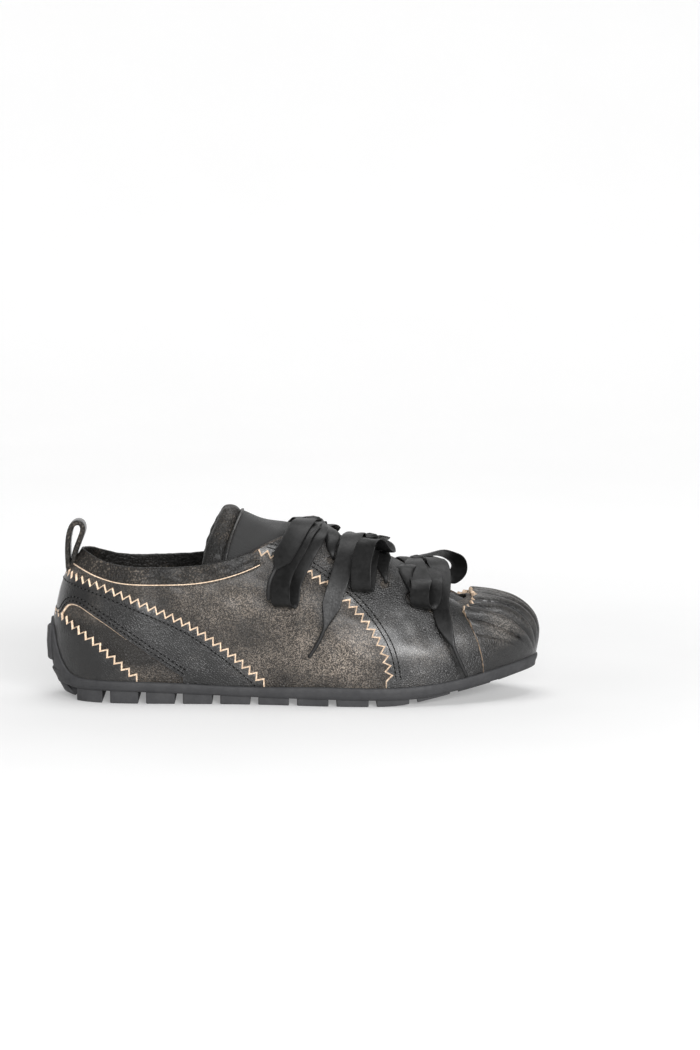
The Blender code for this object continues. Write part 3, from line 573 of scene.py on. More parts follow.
def make_materials():
    m = {}
    m["quarter"] = leather("grain_leather", (0.011, 0.01, 0.009), (0.022, 0.0198, 0.0175), (0.4, 0.335, 0.275),
                           700, 0.15, 0.485, 0.44, 0.8, 0.14, 0.38)
    m["smooth"] = leather("smooth_leather", (0.006, 0.0059, 0.0059), (0.0105, 0.0102, 0.01), (0.26, 0.235, 0.21),
                          900, 0.0, 0.485, 0.35, 0.35, 0.32, 0.42)
    m["collar"] = leather("collar_leather", (0.0045, 0.0042, 0.0039), (0.0095, 0.0086, 0.0077), (0.46, 0.38, 0.3),
                          520, 0.12, 0.525, 0.46, 0.8, 0.08, 0.3, 1000)
    m["raw"] = plain("raw_edge", (0.62, 0.44, 0.29), 0.85,
                     ((900, 4), (0.3, (0.44, 0.31, 0.21)), (0.62, (0.86, 0.67, 0.5))),
                     bump=((2500, 3), 0.5, 0.0002))
    m["dim"] = plain("dark_edge", (0.06, 0.045, 0.035), 0.8,
                     ((700, 4), (0.3, (0.03, 0.024, 0.02)), (0.7, (0.13, 0.09, 0.065))))
    m["seam"] = plain("seam_edge", (0.2, 0.14, 0.09), 0.8,
                      ((500, 4), (0.35, (0.03, 0.024, 0.02)), (0.62, (0.34, 0.24, 0.16))))
    m["lining"], shader, w = new_material("lining", (0.012, 0.012, 0.012), 0.5)
    w.link(w.ramp(w.noise(120, 4), [(0.3, 0.008), (0.7, 0.018)]), shader.inputs["Base Color"])
    w.link(w.bump(w.cells(900), 0.25, 0.0002), shader.inputs["Normal"])
    m["rubber"] = plain("rubber", (0.05, 0.05, 0.052), 0.72,
                        ((90, 6, 0.65), (0.3, (0.026, 0.026, 0.028)), (0.7, (0.042, 0.042, 0.044))),
                        ((300, 3), (0.3, 0.62), (0.7, 0.82)), ((1800, 3, 0.6), 0.25, 0.0002))
    m["cloth"], shader, w = new_material("tongue_cloth", (0.018, 0.018, 0.018), 0.85, Sheen_Weight=0.1,
                                         Sheen_Roughness=0.5)
    weave = w.math("MULTIPLY", w.wave(700, "X"), w.wave(700, "Y"))
    w.link(w.ramp(weave, [(0.1, 0.012), (0.8, 0.036)]), shader.inputs["Base Color"])
    w.link(w.bump(weave, 0.5, 0.0003), shader.inputs["Normal"])
    m["satin"] = plain("satin_ribbon", (0.008, 0.008, 0.008), 0.42, ((400, 3), (0.3, 0.005), (0.7, 0.011)),
                       ((900, 2), (0.3, 0.34), (0.7, 0.5)), ((1600, 2), 0.4, 0.00015), Specular_IOR_Level=0.22)
    m["tip"] = plain("lace_tip", (0.01, 0.01, 0.01), 0.5, ((500, 2), (0.3, 0.006), (0.7, 0.012)),
                     Specular_IOR_Level=0.25)
    m["thread"] = plain("thread", (0.016, 0.016, 0.016), 0.45, ((1200, 2), (0.3, 0.01), (0.7, 0.03)))
    # Matte near-black strips under the stitch rows: painted shade of the stitch grooves.
    m["dark"] = plain("stitch_groove_painted_shade", (0.003, 0.003, 0.003), 0.9, ((1200, 2), (0.3, 0.002), (0.7, 0.005)),
                      Specular_IOR_Level=0.1)
    # The floor glows: painted light, dimmer near the shoe and brighter farther off.
    m["floor"], shader, w = new_material("floor", (0.5, 0.5, 0.5), 0.9, Emission_Color=(1.0, 1.0, 1.0, 1.0))
    w.link(w.ramp(w.noise(6, 2), [(0.3, 0.5), (0.7, 0.52)]), shader.inputs["Base Color"])
    w.link(w.ramp(w.distance(0.35), [(0.05, 0.26), (0.24, 0.5), (0.8, 0.7)]), shader.inputs["Emission Strength"])
    return m


MATERIALS = make_materials()


# Camera and light

DISTANCE = 1600.0
ELEVATION = 8.0
SHOE_MIDDLE = np.array((0.0, 0.0, 48.3))
IMAGE = (700, 1050)
MIDDLE_PIXEL = (293.0, 605.0)
PIXELS_PER_MM = 1.857
SENSOR = 36.0


def make_camera():
    """The camera of the photograph: the outer side, a little from above, through a long lens."""
    camera = placed("camera", bpy.data.cameras.new("camera"))
    focal_pixels = PIXELS_PER_MM * DISTANCE
    camera.data.sensor_width = SENSOR
    camera.data.lens = SENSOR * focal_pixels / IMAGE[1]
    camera.data.clip_end = 50.0
    rise = radians(ELEVATION)
    spot = SHOE_MIDDLE + DISTANCE * np.array((0.0, -cos(rise), sin(rise)))
    camera.location = metres(spot)
    yaw = np.arctan((IMAGE[0] / 2 - MIDDLE_PIXEL[0]) / focal_pixels)
    pitch = rise - np.arctan((MIDDLE_PIXEL[1] - IMAGE[1] / 2) / focal_pixels)
    camera.rotation_euler = (pi / 2 - pitch, 0.0, -yaw)
    bpy.context.scene.camera = camera


# The soft boxes. Columns: name, place in metres, size, power
SOFT_BOXES = (
    ("key", (0.3, -1.55, 0.52), (0.95, 0.34), 25.0),
    ("front", (0.9, -1.48, 0.58), (0.55, 0.36), 9.0),
    ("top", (0.1, 0.15, 1.5), (1.0, 1.0), 14.0),
    ("side", (-1.4, -0.6, 0.9), (0.7, 0.7), 3.0),
)
AIM = np.array((0.0, 0.0, 0.04))
WORLD_STRENGTH = 0.17

# The floor in metres: its half width, front, where it starts to curve up, the curve's radius, and its height
FLOOR_HALF_WIDTH, FLOOR_FRONT, FLOOR_BEND, FLOOR_RADIUS, FLOOR_HEIGHT = 6.0, -5.0, 1.6, 1.4, 4.0


def make_light():
    """A pale floor that sweeps up behind the shoe and glows with painted light, under soft boxes from above, in front
    and from the side.
    """
    world = bpy.data.worlds.new("studio")
    world.use_nodes = True
    background = world.node_tree.nodes["Background"]
    background.inputs["Color"].default_value = (1.0, 1.0, 1.0, 1.0)
    background.inputs["Strength"].default_value = WORLD_STRENGTH
    bpy.context.scene.world = world
    bpy.context.scene.view_settings.view_transform = "Standard"
    for name, place, size, power in SOFT_BOXES:
        light = bpy.data.lights.new(name, "AREA")
        light.shape = "RECTANGLE"
        light.size, light.size_y = size
        light.energy = power
        item = placed(name, light)
        item.location = place
        aim = unit(AIM - np.array(place))
        item.rotation_euler = (np.arccos(-aim[2]), 0.0, np.arctan2(aim[1], aim[0]) - pi / 2)
    turn = np.radians(np.linspace(0, 90, 13))
    y = np.concatenate([[FLOOR_FRONT], FLOOR_BEND + FLOOR_RADIUS * np.sin(turn), [FLOOR_BEND + FLOOR_RADIUS]])
    z = np.concatenate([[0.0], FLOOR_RADIUS - FLOOR_RADIUS * np.cos(turn), [FLOOR_HEIGHT]])
    points = np.stack([columns(x, y, z) for x in (-FLOOR_HALF_WIDTH, FLOOR_HALF_WIDTH)])
    floor = placed("floor", new_mesh("floor", points, grid_faces(2, len(y)), ["floor"]))


# Ribbons

RIBBON_WIDTH = 11.0
RIBBON = 0.7
TIP_LENGTH = 17.0
KNOT_HALF_SIZE = (4.8, 5.2, 2.0)

# The bows. Columns of each line: x, y, z, and the way of the ribbon's width there
# A loop starts and ends at the knot; an end runs from the knot to its tip.
# The inner side has the same lines mirrored, unless it has its own.
BOWS = (
    {
        "middle_y": 1.2,
        "inner_drop": 2.0,
        "tail": 10.5,
        "taper": 8.0,
        "knot": (10.5, 1.2, 94.4),
        "loop": (
            (12.5, -4.7, 93.8, 1.0, -0.2, 0.0), (10.5, -12.0, 93.6, 1.0, -0.3, 0.0),
            (6.5, -21.6, 90.6, 0.95, -0.3, -0.2), (1.0, -29.4, 82.0, 0.9, -0.2, -0.4),
            (-4.0, -34.6, 73.4, 0.9, -0.2, -0.35), (-6.6, -39.2, 66.0, 1.0, -0.3, -0.1),
            (-7.0, -42.4, 60.0, 1.0, -0.4, 0.0), (-6.2, -42.2, 55.0, 1.0, -0.4, 0.0),
            (-3.8, -39.0, 53.0, 1.0, -0.4, 0.0), (-1.8, -36.2, 56.4, 1.0, -0.5, 0.0),
            (-1.0, -34.6, 63.0, 1.0, -0.5, 0.0), (2.0, -32.4, 71.6, 0.9, -0.3, -0.2),
            (6.4, -28.6, 80.0, 0.9, -0.2, -0.3), (11.6, -23.0, 88.2, 1.0, -0.2, -0.1),
            (15.0, -7.0, 93.2, 1.0, 0.0, 0.0),
        ),
        "end": (
            (6.9, -1.6, 95.4, 0.8, -0.6, 0.0), (7.0, -9.0, 95.8, 0.9, -0.4, 0.0),
            (4.4, -18.4, 94.2, 0.85, -0.3, -0.3), (-0.6, -28.8, 87.0, 0.82, -0.1, -0.5),
            (-5.8, -37.0, 79.0, 0.82, 0.0, -0.55), (-10.0, -42.0, 72.4, 0.85, 0.0, -0.5),
            (-12.4, -43.6, 67.0, 1.0, 0.0, -0.2), (-13.2, -43.0, 57.0, 1.0, 0.0, 0.0),
        ),
    },
    {
        "middle_y": 1.8,
        "inner_drop": 3.6,
        "tail": 10.0,
        "taper": 13.0,
        "knot": (41.0, 1.8, 85.0),
        "loop": (
            (45.0, -3.4, 84.2, 1.0, -0.3, 0.0), (48.0, -10.0, 81.2, 0.8, -0.6, 0.0),
            (49.0, -15.8, 79.4, 0.7, -0.7, 0.0), (48.2, -20.6, 80.4, 0.65, -0.75, 0.1),
            (45.8, -25.0, 84.0, 0.65, -0.75, 0.1), (42.6, -28.8, 87.2, 0.7, -0.7, 0.1),
            (39.2, -32.6, 86.4, 0.8, -0.55, 0.0), (36.8, -36.0, 80.4, 0.9, -0.4, 0.0),
            (35.5, -38.6, 73.0, 0.95, -0.3, 0.0), (35.4, -39.8, 66.6, 0.95, -0.3, 0.0),
            (35.8, -39.0, 62.2, 0.95, -0.3, 0.0), (37.0, -35.8, 60.8, 0.95, -0.3, 0.0),
            (37.6, -33.2, 64.0, 0.95, -0.2, 0.0), (38.2, -30.4, 69.8, 0.95, -0.1, 0.0),
            (39.4, -25.2, 76.6, 1.0, 0.0, 0.0), (40.2, -15.6, 81.4, 1.0, 0.0, 0.0),
            (40.6, -6.6, 83.0, 1.0, 0.0, 0.0),
        ),
        "inner_loop": (
            (45.0, 7.0, 84.6, 1.0, 0.3, 0.0), (47.0, 14.0, 82.6, 0.9, 0.4, 0.0),
            (46.0, 22.0, 80.6, 0.8, 0.5, 0.0), (42.4, 29.0, 77.0, 0.85, 0.5, 0.0),
            (39.0, 34.0, 71.0, 0.9, 0.4, 0.0), (37.4, 37.4, 65.4, 0.95, 0.3, 0.0),
            (37.6, 38.4, 61.6, 0.95, 0.3, 0.0), (38.2, 36.0, 60.8, 0.95, 0.2, 0.0),
            (38.4, 33.8, 64.2, 0.95, 0.2, 0.0), (38.8, 31.4, 70.0, 0.95, 0.1, 0.0),
            (39.8, 26.2, 76.2, 1.0, 0.0, 0.0), (40.4, 17.6, 81.2, 1.0, 0.0, 0.0),
            (40.6, 10.2, 83.0, 1.0, 0.0, 0.0),
        ),
        "end": (
            (36.0, -0.8, 86.4, 0.6, -0.8, 0.0), (32.6, -12.0, 88.4, 0.9, -0.5, 0.0),
            (30.0, -23.4, 85.0, 0.95, -0.2, -0.2), (26.0, -33.4, 72.8, 0.93, -0.1, -0.35),
            (21.2, -39.0, 58.6, 0.93, 0.0, -0.35), (17.4, -41.4, 45.4, 0.95, 0.0, -0.3),
            (13.6, -42.4, 35.6, 0.9, 0.0, -0.4), (8.0, -43.0, 26.5, 0.9, 0.0, -0.4),
        ),
    },
    {
        "middle_y": 4.0,
        "inner_drop": 1.0,
        "tail": 8.0,
        "taper": 12.0,
        "knot": (66.5, 4.0, 72.8),
        "loop": (
            (65.6, -0.9, 73.4, 1.0, 0.0, 0.0), (64.8, -10.0, 72.4, 1.0, 0.0, 0.0),
            (65.4, -19.0, 69.0, 1.0, -0.2, 0.0), (67.2, -27.2, 65.6, 0.92, -0.4, 0.0),
            (67.2, -34.6, 64.0, 0.9, -0.44, 0.0), (66.2, -39.4, 59.0, 0.9, -0.44, 0.0),
            (67.2, -38.2, 53.4, 0.9, -0.44, 0.0), (69.8, -34.4, 51.6, 0.9, -0.44, 0.0),
            (72.2, -31.4, 54.6, 0.9, -0.44, 0.0), (73.4, -28.4, 59.8, 0.9, -0.44, 0.0),
            (73.8, -24.0, 64.6, 0.92, -0.4, 0.0), (72.8, -15.0, 68.2, 1.0, -0.2, 0.0),
            (70.0, -5.4, 70.6, 1.0, 0.0, 0.0),
        ),
        "inner_loop": (
            (69.5, 8.9, 73.0, 1.0, 0.2, 0.0), (76.0, 16.0, 74.6, 0.8, -0.5, 0.3),
            (84.0, 24.0, 73.0, 0.7, -0.6, 0.3), (90.0, 30.6, 68.4, 0.7, -0.6, 0.2),
            (90.6, 34.0, 62.2, 0.75, -0.6, 0.0), (86.0, 33.6, 57.6, 0.8, -0.6, -0.2),
            (79.6, 29.4, 58.0, 0.85, -0.5, -0.2), (74.0, 23.6, 62.6, 0.9, -0.3, -0.2),
            (70.4, 15.6, 68.0, 1.0, 0.0, 0.0), (68.4, 11.0, 70.8, 1.0, 0.0, 0.0),
        ),
        "end": (
            (73.6, 2.0, 73.7, 0.8, 0.6, 0.0), (77.4, -7.0, 71.4, 1.0, 0.1, 0.0),
            (78.8, -15.0, 65.8, 1.0, -0.1, 0.0), (78.6, -22.4, 58.8, 1.0, -0.1, 0.1),
            (77.8, -28.0, 52.8, 1.0, -0.1, 0.1), (78.8, -32.8, 45.6, 0.95, 0.0, 0.25),
            (82.4, -36.6, 35.8, 0.88, 0.0, 0.4), (86.6, -38.4, 25.6, 0.88, 0.0, 0.4),
            (91.2, -38.6, 15.5, 0.88, 0.0, 0.4),
        ),
    },
)


def band(line, across, widths, thicks, count, cup=0.5, seed=1):
    """A soft flat band along a line: points of its sections, and its middle line.

    Widths and thicks are rows of (share of the length, size).
    """
    line = np.asarray(line, float)
    along = lengths(line)
    at = np.linspace(0, along[-1], count)
    middle = smooth(along, line, at)
    share = at / along[-1]
    ahead = unit(np.gradient(middle, axis=0))
    side = np.stack([np.interp(at, along, np.asarray(across, float)[:, k]) for k in range(3)], axis=1)
    side = unit(side - ahead * np.sum(side * ahead, axis=1, keepdims=True))
    face = np.cross(ahead, side)
    wide = np.interp(share, *np.transpose(widths)) / 2
    thick = np.interp(share, *np.transpose(thicks)) / 2
    turn = np.linspace(0, 2 * pi, 25)[:-1]
    u = np.sign(np.cos(turn)) * np.abs(np.cos(turn)) ** 0.6
    v = np.sign(np.sin(turn)) * np.abs(np.sin(turn)) ** 0.8
    flatness = np.clip((wide - thick) / 4.0, 0, 1)
    wave = ripples(columns(at, 0.0, 0.0), 17.0, seed)
    bow = flatness[:, None] * (cup * (u ** 2 - 0.4) + 0.25 * wave[:, None] * u)
    rings = (middle[:, None] + side[:, None] * (wide[:, None] * u)[..., None]
             + face[:, None] * (thick[:, None] * v + bow)[..., None])
    return rings, middle


def make_knot(name, centre, node):
    """A small knot: a rounded lump with soft folds over its surface."""
    turns, rows = 40, 24
    u, v = np.meshgrid(np.linspace(0, 2 * pi, turns + 1)[:-1], np.linspace(-pi / 2, pi / 2, rows), indexing="ij")
    fold = 1 + 0.07 * np.cos(3 * u + 2 * np.sin(v)) + 0.05 * np.sin(9 * v)
    wide, deep, high = KNOT_HALF_SIZE
    shape = columns(wide * np.cos(v) * np.cos(u), deep * np.cos(v) * np.sin(u), high * np.sin(v))
    points = np.asarray(centre) + shape * fold[..., None]
    return piece(name, points, grid_faces(turns, rows, ring_rows=True), ["satin"], [node])


def make_bows():
    """The knots, loops and ends of the three bows, each loop and end a flat band of ribbon."""
    for number, bow in enumerate(BOWS, 1):
        knot = make_knot(f"bow_{number}_knot", bow["knot"], f"lace_{number}_knot")
        for side in ("outer", "inner"):
            loop, end = np.array(bow["loop"]), np.array(bow["end"])
            if side == "inner":
                for line in (loop, end):
                    line[:, 1] = 2 * bow["middle_y"] - line[:, 1]
                    line[:, 4] *= -1
                    line[:, 2] -= bow["inner_drop"] * np.clip((line[:, 1] - bow["middle_y"] - 4.0) / 10.0, 0, 1)
                loop = np.array(bow.get("inner_loop", loop))
            waist = ((0, 6.0), (0.1, RIBBON_WIDTH), (0.9, RIBBON_WIDTH), (1, 6.0))
            rings, middle = band(loop[:, :3], loop[:, 3:], waist, ((0, RIBBON), (1, RIBBON)), 130, seed=number)
            item = piece(f"bow_{number}_loop_{side}", rings, capped(rings), ["satin"],
                         [f"lace_{number}_loop_{side}"])
            total = lengths(end[:, :3])[-1]
            tip, taper = 1 - TIP_LENGTH / total, 1 - (TIP_LENGTH + bow["taper"]) / total
            widths = ((0, 6.5), (0.1, RIBBON_WIDTH), (taper, bow["tail"]), (tip, 2.1), (1, 1.9))
            thicks = ((0, RIBBON), (taper, RIBBON), (tip, 2.0), (1, 1.8))
            rings, middle = band(end[:, :3], end[:, 3:], widths, thicks, 120, seed=number + 5)
            faces = capped(rings)
            ring_of = np.array([f[0] // rings.shape[1] for f in faces])
            item = piece(f"bow_{number}_end_{side}", rings, faces, ["satin", "tip"],
                         [f"lace_{number}_end_{side}"], index=ring_of > tip * len(rings))


# Upper and overlays

# Rubbed places in side view; most of them also hold painted highlights, paler leather where the soft boxes reflect
# off the quarter, saddle and toe. Columns: x, z, half length, half height, strength
RUBBED_AND_HIGHLIGHTS = (
    (-24.0, 52.0, 10.0, 9.0, 1.1), (-46.0, 47.0, 12.0, 6.0, 0.5), (-8.0, 25.0, 12.0, 6.0, 1.0),
    (4.0, 34.0, 12.0, 8.0, 0.7), (30.0, 30.0, 12.0, 14.0, 1.7), (18.0, 20.0, 10.0, 5.0, 1.0),
    (10.0, 52.0, 9.0, 8.0, 0.6), (72.0, 28.0, 15.0, 5.0, 1.0), (-100.0, 38.0, 8.0, 5.0, 0.3),
    (-78.0, 18.0, 8.0, 4.0, 0.4), (112.0, 40.0, 12.0, 6.0, 0.9), (-95.0, 34.0, 24.0, 12.0, -1.5),
)


def wear_and_highlight_at(points):
    """How rubbed the leather is, with painted highlights: the rubbed and highlit places and seeded clouds."""
    x, z = points[..., 0], points[..., 2]
    wear_and_highlight = 0.25 * ripples(points, 26.0, 11)
    # Each place adds rubbed wear, and for most of them a painted highlight.
    for px, pz, rx, rz, strength in RUBBED_AND_HIGHLIGHTS:
        wear_and_highlight = wear_and_highlight + strength * np.exp(-((x - px) / rx) ** 2 - ((z - pz) / rz) ** 2)
    return wear_and_highlight


def collar_share(t):
    """How far a place belongs to the collar (1) and not to the throat (0), and the start of its band."""
    from_heel = np.minimum(t, 1 - t)
    inside = np.clip((rib_at(6.15) - from_heel) / 0.012, 0, 1)
    s = np.linspace(0.5, 1.0, 60)
    line = rib_point(t[:, None], s[None, :])
    left = np.linalg.norm(line - line[:, -1:], axis=-1)
    start = np.array([np.interp(-COLLAR_HEIGHT, -row, s) for row in left])
    return inside, start


# Rows of points up the wall and up the collar, and the first crinkled row of the collar
WALL_ROWS = 44
COLLAR_ROWS = 12
CRINKLE_FROM = WALL_ROWS + 2


def make_upper():
    """Quarter and vamp as one hollow wall with the collar band under its raw top edge."""
    t = ring_places(320)
    inside, start = collar_share(t)
    shares = [start * f for f in np.linspace(0.0, 1.0, WALL_ROWS)]
    lifts = [0.0 * t] * len(shares)
    kinds = [0] * len(shares)
    height = np.linalg.norm(slopes(t, start)[1], axis=-1)
    shares.append(start + 0.55 / height)
    lifts.append(-COLLAR_STEP * inside)
    kinds.append(1)
    for f in np.linspace(0.15, 1.0, COLLAR_ROWS):
        shares.append(start + (1 - start) * f)
        lifts.append(-COLLAR_STEP * inside)
        kinds.append(2)
    outer = np.stack([skin(t, s, h) for s, h in zip(shares, lifts)], axis=1)
    collar = outer[:, CRINKLE_FROM:]
    crinkle = ripples(collar, 3.6, 21) * 0.1 + ripples(collar, 8.0, 22) * 0.08
    normal = slopes(t[:, None], np.stack(shares[CRINKLE_FROM:], axis=1))[2]
    collar += normal * (crinkle * inside[:, None])[..., None]
    _, by_s, top_normal = slopes(t, np.ones_like(t))
    edge_out, edge_in = outer[:, -1], skin(t, 1.0, -WALL)
    middle, half = (edge_out + edge_in) / 2, np.linalg.norm(edge_out - edge_in, axis=1) / 2
    turns = np.radians([30, 60, 90, 120, 150])
    top = [middle + half[:, None] * (np.cos(a) * top_normal + np.sin(a) * unit(by_s)) for a in turns]
    inner = [skin(t, s, -WALL) for s in np.linspace(1.0, 0.0, 22)]
    inner[-1][:, 2] = outer[:, 0, 2]
    section = np.concatenate([outer, np.stack(top, axis=1), np.stack(inner, axis=1)], axis=1)
    count = section.shape[1]
    kinds += [2] * 9 + [3] * 18
    faces = grid_faces(len(t), count, True, True)
    column, row = faces[:, 0] % count, faces[:, 0] // count
    index = np.array(kinds)[(column + 1) % count]
    index[np.isin(index, (1, 2)) & (inside[row] < 0.5)] = 0
    wear_and_highlight = wear_and_highlight_at(section)
    # Fewer pale specks on the collar's top and inner faces.
    wear_and_highlight[:, outer.shape[1]:] -= 0.5
    return piece("upper_leather", section, faces, ["quarter", "raw", "collar", "lining"], ["upper"],
                 index=index, wear_and_highlight=wear_and_highlight)


def close_places(places):
    """Places half a millimetre apart on the smooth line through a few places."""
    along = lengths(rib_point(*places.T))
    return smooth(along, places, np.arange(0, along[-1], 0.5))


def edge_line(table, inner=False):
    """Close places (t, s) along an edge that is drawn in side view."""
    return close_places(on_wall(*table.T, inner))


def wrapped_line(table):
    """The same for an edge that runs from the outer side round the heel to the inner side."""
    inner = on_wall(*table.T, inner=True)
    inner[:, 0] -= 1.0
    return close_places(np.vstack([on_wall(*table.T)[::-1], inner]))


def even(places, count):
    """Places at even distances along a line of places."""
    along = lengths(rib_point(*places.T))
    at = np.linspace(0, along[-1], count)
    return columns(np.interp(at, along, places[:, 0]), np.interp(at, along, places[:, 1]))


def edge_frame(places):
    """Along an edge: its way ahead, the way square to it on the face, and the face's normal."""
    spots = rib_point(*places.T)
    ahead = unit(np.gradient(spots, axis=0))
    normal = slopes(*places.T)[2]
    return ahead, unit(np.cross(normal, ahead)), normal


def aside(places, distance):
    """The line of places moved sideways on the face; positive is to the left of the way ahead."""
    return moved(places, edge_frame(places)[1] * np.reshape(distance, (-1, 1)))


def pinked(places, pitch=TOOTH_PITCH, height=TOOTH_HEIGHT):
    """A line of places cut into teeth, four steps to a tooth; the points stand to the left of the way ahead."""
    along = lengths(rib_point(*places.T))
    count = 4 * int(along[-1] / pitch) + 1
    tooth = np.abs((np.arange(count) % 4) - 2) / 2.0 - 0.5
    return aside(even(places, count), tooth * height)


# How far the overlays reach down behind the sole's rim, as a share of the rib's height
BEHIND_RIM = 0.03


def down_to_rim(places):
    """The line with its two ends carried down behind the rim of the sole."""
    ends = places[[0, -1]].copy()
    ends[:, 1] = rim_share(np.mod(ends[:, 0], 1.0)) - BEHIND_RIM
    return np.vstack([ends[:1], places, ends[1:]])


def along_rim(first, last, step=0.004):
    """Places behind the rim of the sole from one place around the shoe to another."""
    t = np.linspace(first, last, max(int(abs(last - first) / step), 2) + 1)[1:-1]
    return columns(t, rim_share(np.mod(t, 1.0)) - BEHIND_RIM)


def inside_of(loop, points):
    """Which points lie inside a closed outline."""
    hit = np.zeros(len(points), bool)
    x, y = points[:, 0], points[:, 1]
    for (x0, y0), (x1, y1) in zip(loop, np.roll(loop, -1, axis=0)):
        if y0 != y1:
            hit ^= ((y0 > y) != (y1 > y)) & (x < (x1 - x0) * (y - y0) / (y1 - y0) + x0)
    return hit


def untangled(loop, reach=14):
    """The closed outline with the small knots in it drawn together to a point."""
    loop, count = loop.copy(), len(loop)
    for i in range(count):
        for gap in range(reach, 1, -1):
            j = (i + gap) % count
            way, other = loop[(i + 1) % count] - loop[i], loop[(j + 1) % count] - loop[j]
            turn = way[0] * other[1] - way[1] * other[0]
            if abs(turn) < 1e-9:
                continue
            start = loop[j] - loop[i]
            u = (start[0] * other[1] - start[1] * other[0]) / turn
            v = (start[0] * way[1] - start[1] * way[0]) / turn
            if 0 <= u <= 1 and 0 <= v <= 1:
                loop[(i + 1 + np.arange(gap)) % count] = loop[i] + u * way
                break
    return loop


FLAT = np.array((640.0, 85.0))
SMOOTH_EDGE, RAW_EDGE, DARK_EDGE, SEAM_EDGE = range(4)


def overlay(name, loops, node, spacing=2.0, swell=None, base=0.0, sharp=38.0):
    """A thin leather panel on the upper, with bevelled edges.

    Each loop is (places, bevel, kind): the outline first, then holes. The kind is that of the edge.
    """
    rims, insets, kinds = [], [], []
    for number, (places, bevel, kind) in enumerate(loops):
        flat = places * FLAT
        ahead = np.roll(flat, -1, axis=0)
        area = np.sum(flat[:, 0] * ahead[:, 1] - ahead[:, 0] * flat[:, 1])
        bevel, kind = np.broadcast_to(bevel, len(places)), np.broadcast_to(kind, len(places))
        if (area > 0) == (number > 0):
            places, bevel, kind = places[::-1], bevel[::-1], np.roll(kind[::-1], -1)
        spots = rib_point(*places.T)
        normal = slopes(*places.T)[2]
        after = unit(np.cross(normal, unit(np.roll(spots, -1, axis=0) - spots)))
        before = unit(np.cross(normal, unit(spots - np.roll(spots, 1, axis=0))))
        miter = (before + after) / np.maximum(1 + np.sum(before * after, axis=1, keepdims=True), 0.5)
        rims.append(places)
        insets.append(untangled(moved(places, miter * bevel[:, None]) * FLAT) / FLAT)
        kinds.append(kind)
    outline = insets[0] * FLAT
    low, high = outline.min(axis=0), outline.max(axis=0)
    u, v = np.meshgrid(np.arange(low[0], high[0], spacing), np.arange(low[1], high[1], spacing))
    u = u + (np.arange(len(u)) % 2)[:, None] * spacing / 2
    fill = columns(u.ravel(), v.ravel())
    fill = fill[inside_of(outline, fill)]
    border = np.vstack(insets) * FLAT
    for hole in insets[1:]:
        fill = fill[~inside_of(hole * FLAT, fill)]
    near = np.array([np.min(np.sum((border - point) ** 2, axis=1)) for point in fill])
    fill = fill[near > (0.55 * spacing) ** 2]
    flat = np.vstack([border, fill])
    edges, start = [], 0
    for inset in insets:
        count = len(inset)
        edges += [(start + k, start + (k + 1) % count) for k in range(count)]
        start += count
    result = delaunay_2d_cdt([Vector(point) for point in flat], edges, [], 1, 1e-6)
    merged = np.arange(len(flat))
    for ids in result[3]:
        merged[ids] = ids[0]
    old = [ids[0] for ids in result[3]]
    triangles = np.array([[old[k] for k in face] for face in result[2]])
    middle = flat[triangles].mean(axis=1)
    keep = inside_of(outline, middle)
    for hole in insets[1:]:
        keep &= ~inside_of(hole * FLAT, middle)
    triangles = triangles[keep]
    places = flat / FLAT
    rim = np.vstack(rims)
    bulge = np.zeros(len(places)) if swell is None else swell(*places.T)
    lift = np.full(len(places), base + OVERLAY)
    lift[:len(border)] -= 0.12
    top = skin(*places.T, lift + bulge)
    under = skin(*places.T, -0.15)
    edge = skin(*rim.T, 0.12 + base * 0.9 + bulge[:len(border)] * 0.8)
    count = len(places)
    faces = triangles.tolist() + shifted(triangles[:, ::-1].tolist(), count)
    index = [SMOOTH_EDGE] * len(faces)
    kind = np.concatenate(kinds)
    for i, j in edges:
        p, q = merged[i], merged[j]
        faces.append(tuple(dict.fromkeys((p, q, 2 * count + j, 2 * count + i))))
        faces.append(tuple(dict.fromkeys((2 * count + i, 2 * count + j, count + q, count + p))))
        index += [int(kind[i])] * 2
    points = np.vstack([top, under, edge])
    wear_and_highlight = wear_and_highlight_at(points)
    wear_and_highlight[:count] += 0.3 * np.maximum(bulge, 0)
    wear_and_highlight[:len(border)] += 0.5
    item = piece(name, points, faces, ["smooth", "raw", "dim", "seam"], [node], index=index,
                 wear_and_highlight=wear_and_highlight)
    item.data.set_sharp_from_angle(angle=radians(sharp))


def ball(rings=4, sides=6):
    """A small unit ball for stitches: points and faces."""
    points = [(-1.0, 0.0, 0.0)]
    for i in range(1, rings):
        a = pi * i / rings
        points += [(-cos(a), sin(a) * cos(2 * pi * k / sides), sin(a) * sin(2 * pi * k / sides))
                   for k in range(sides)]
    points.append((1.0, 0.0, 0.0))
    faces = []
    for k in range(sides):
        n = (k + 1) % sides
        faces.append((0, 1 + n, 1 + k))
        for i in range(rings - 2):
            a, b = 1 + i * sides, 1 + (i + 1) * sides
            faces.append((a + k, a + n, b + n, b + k))
        a = 1 + (rings - 2) * sides
        faces.append((len(points) - 1, a + k, a + n))
    return np.array(points), faces


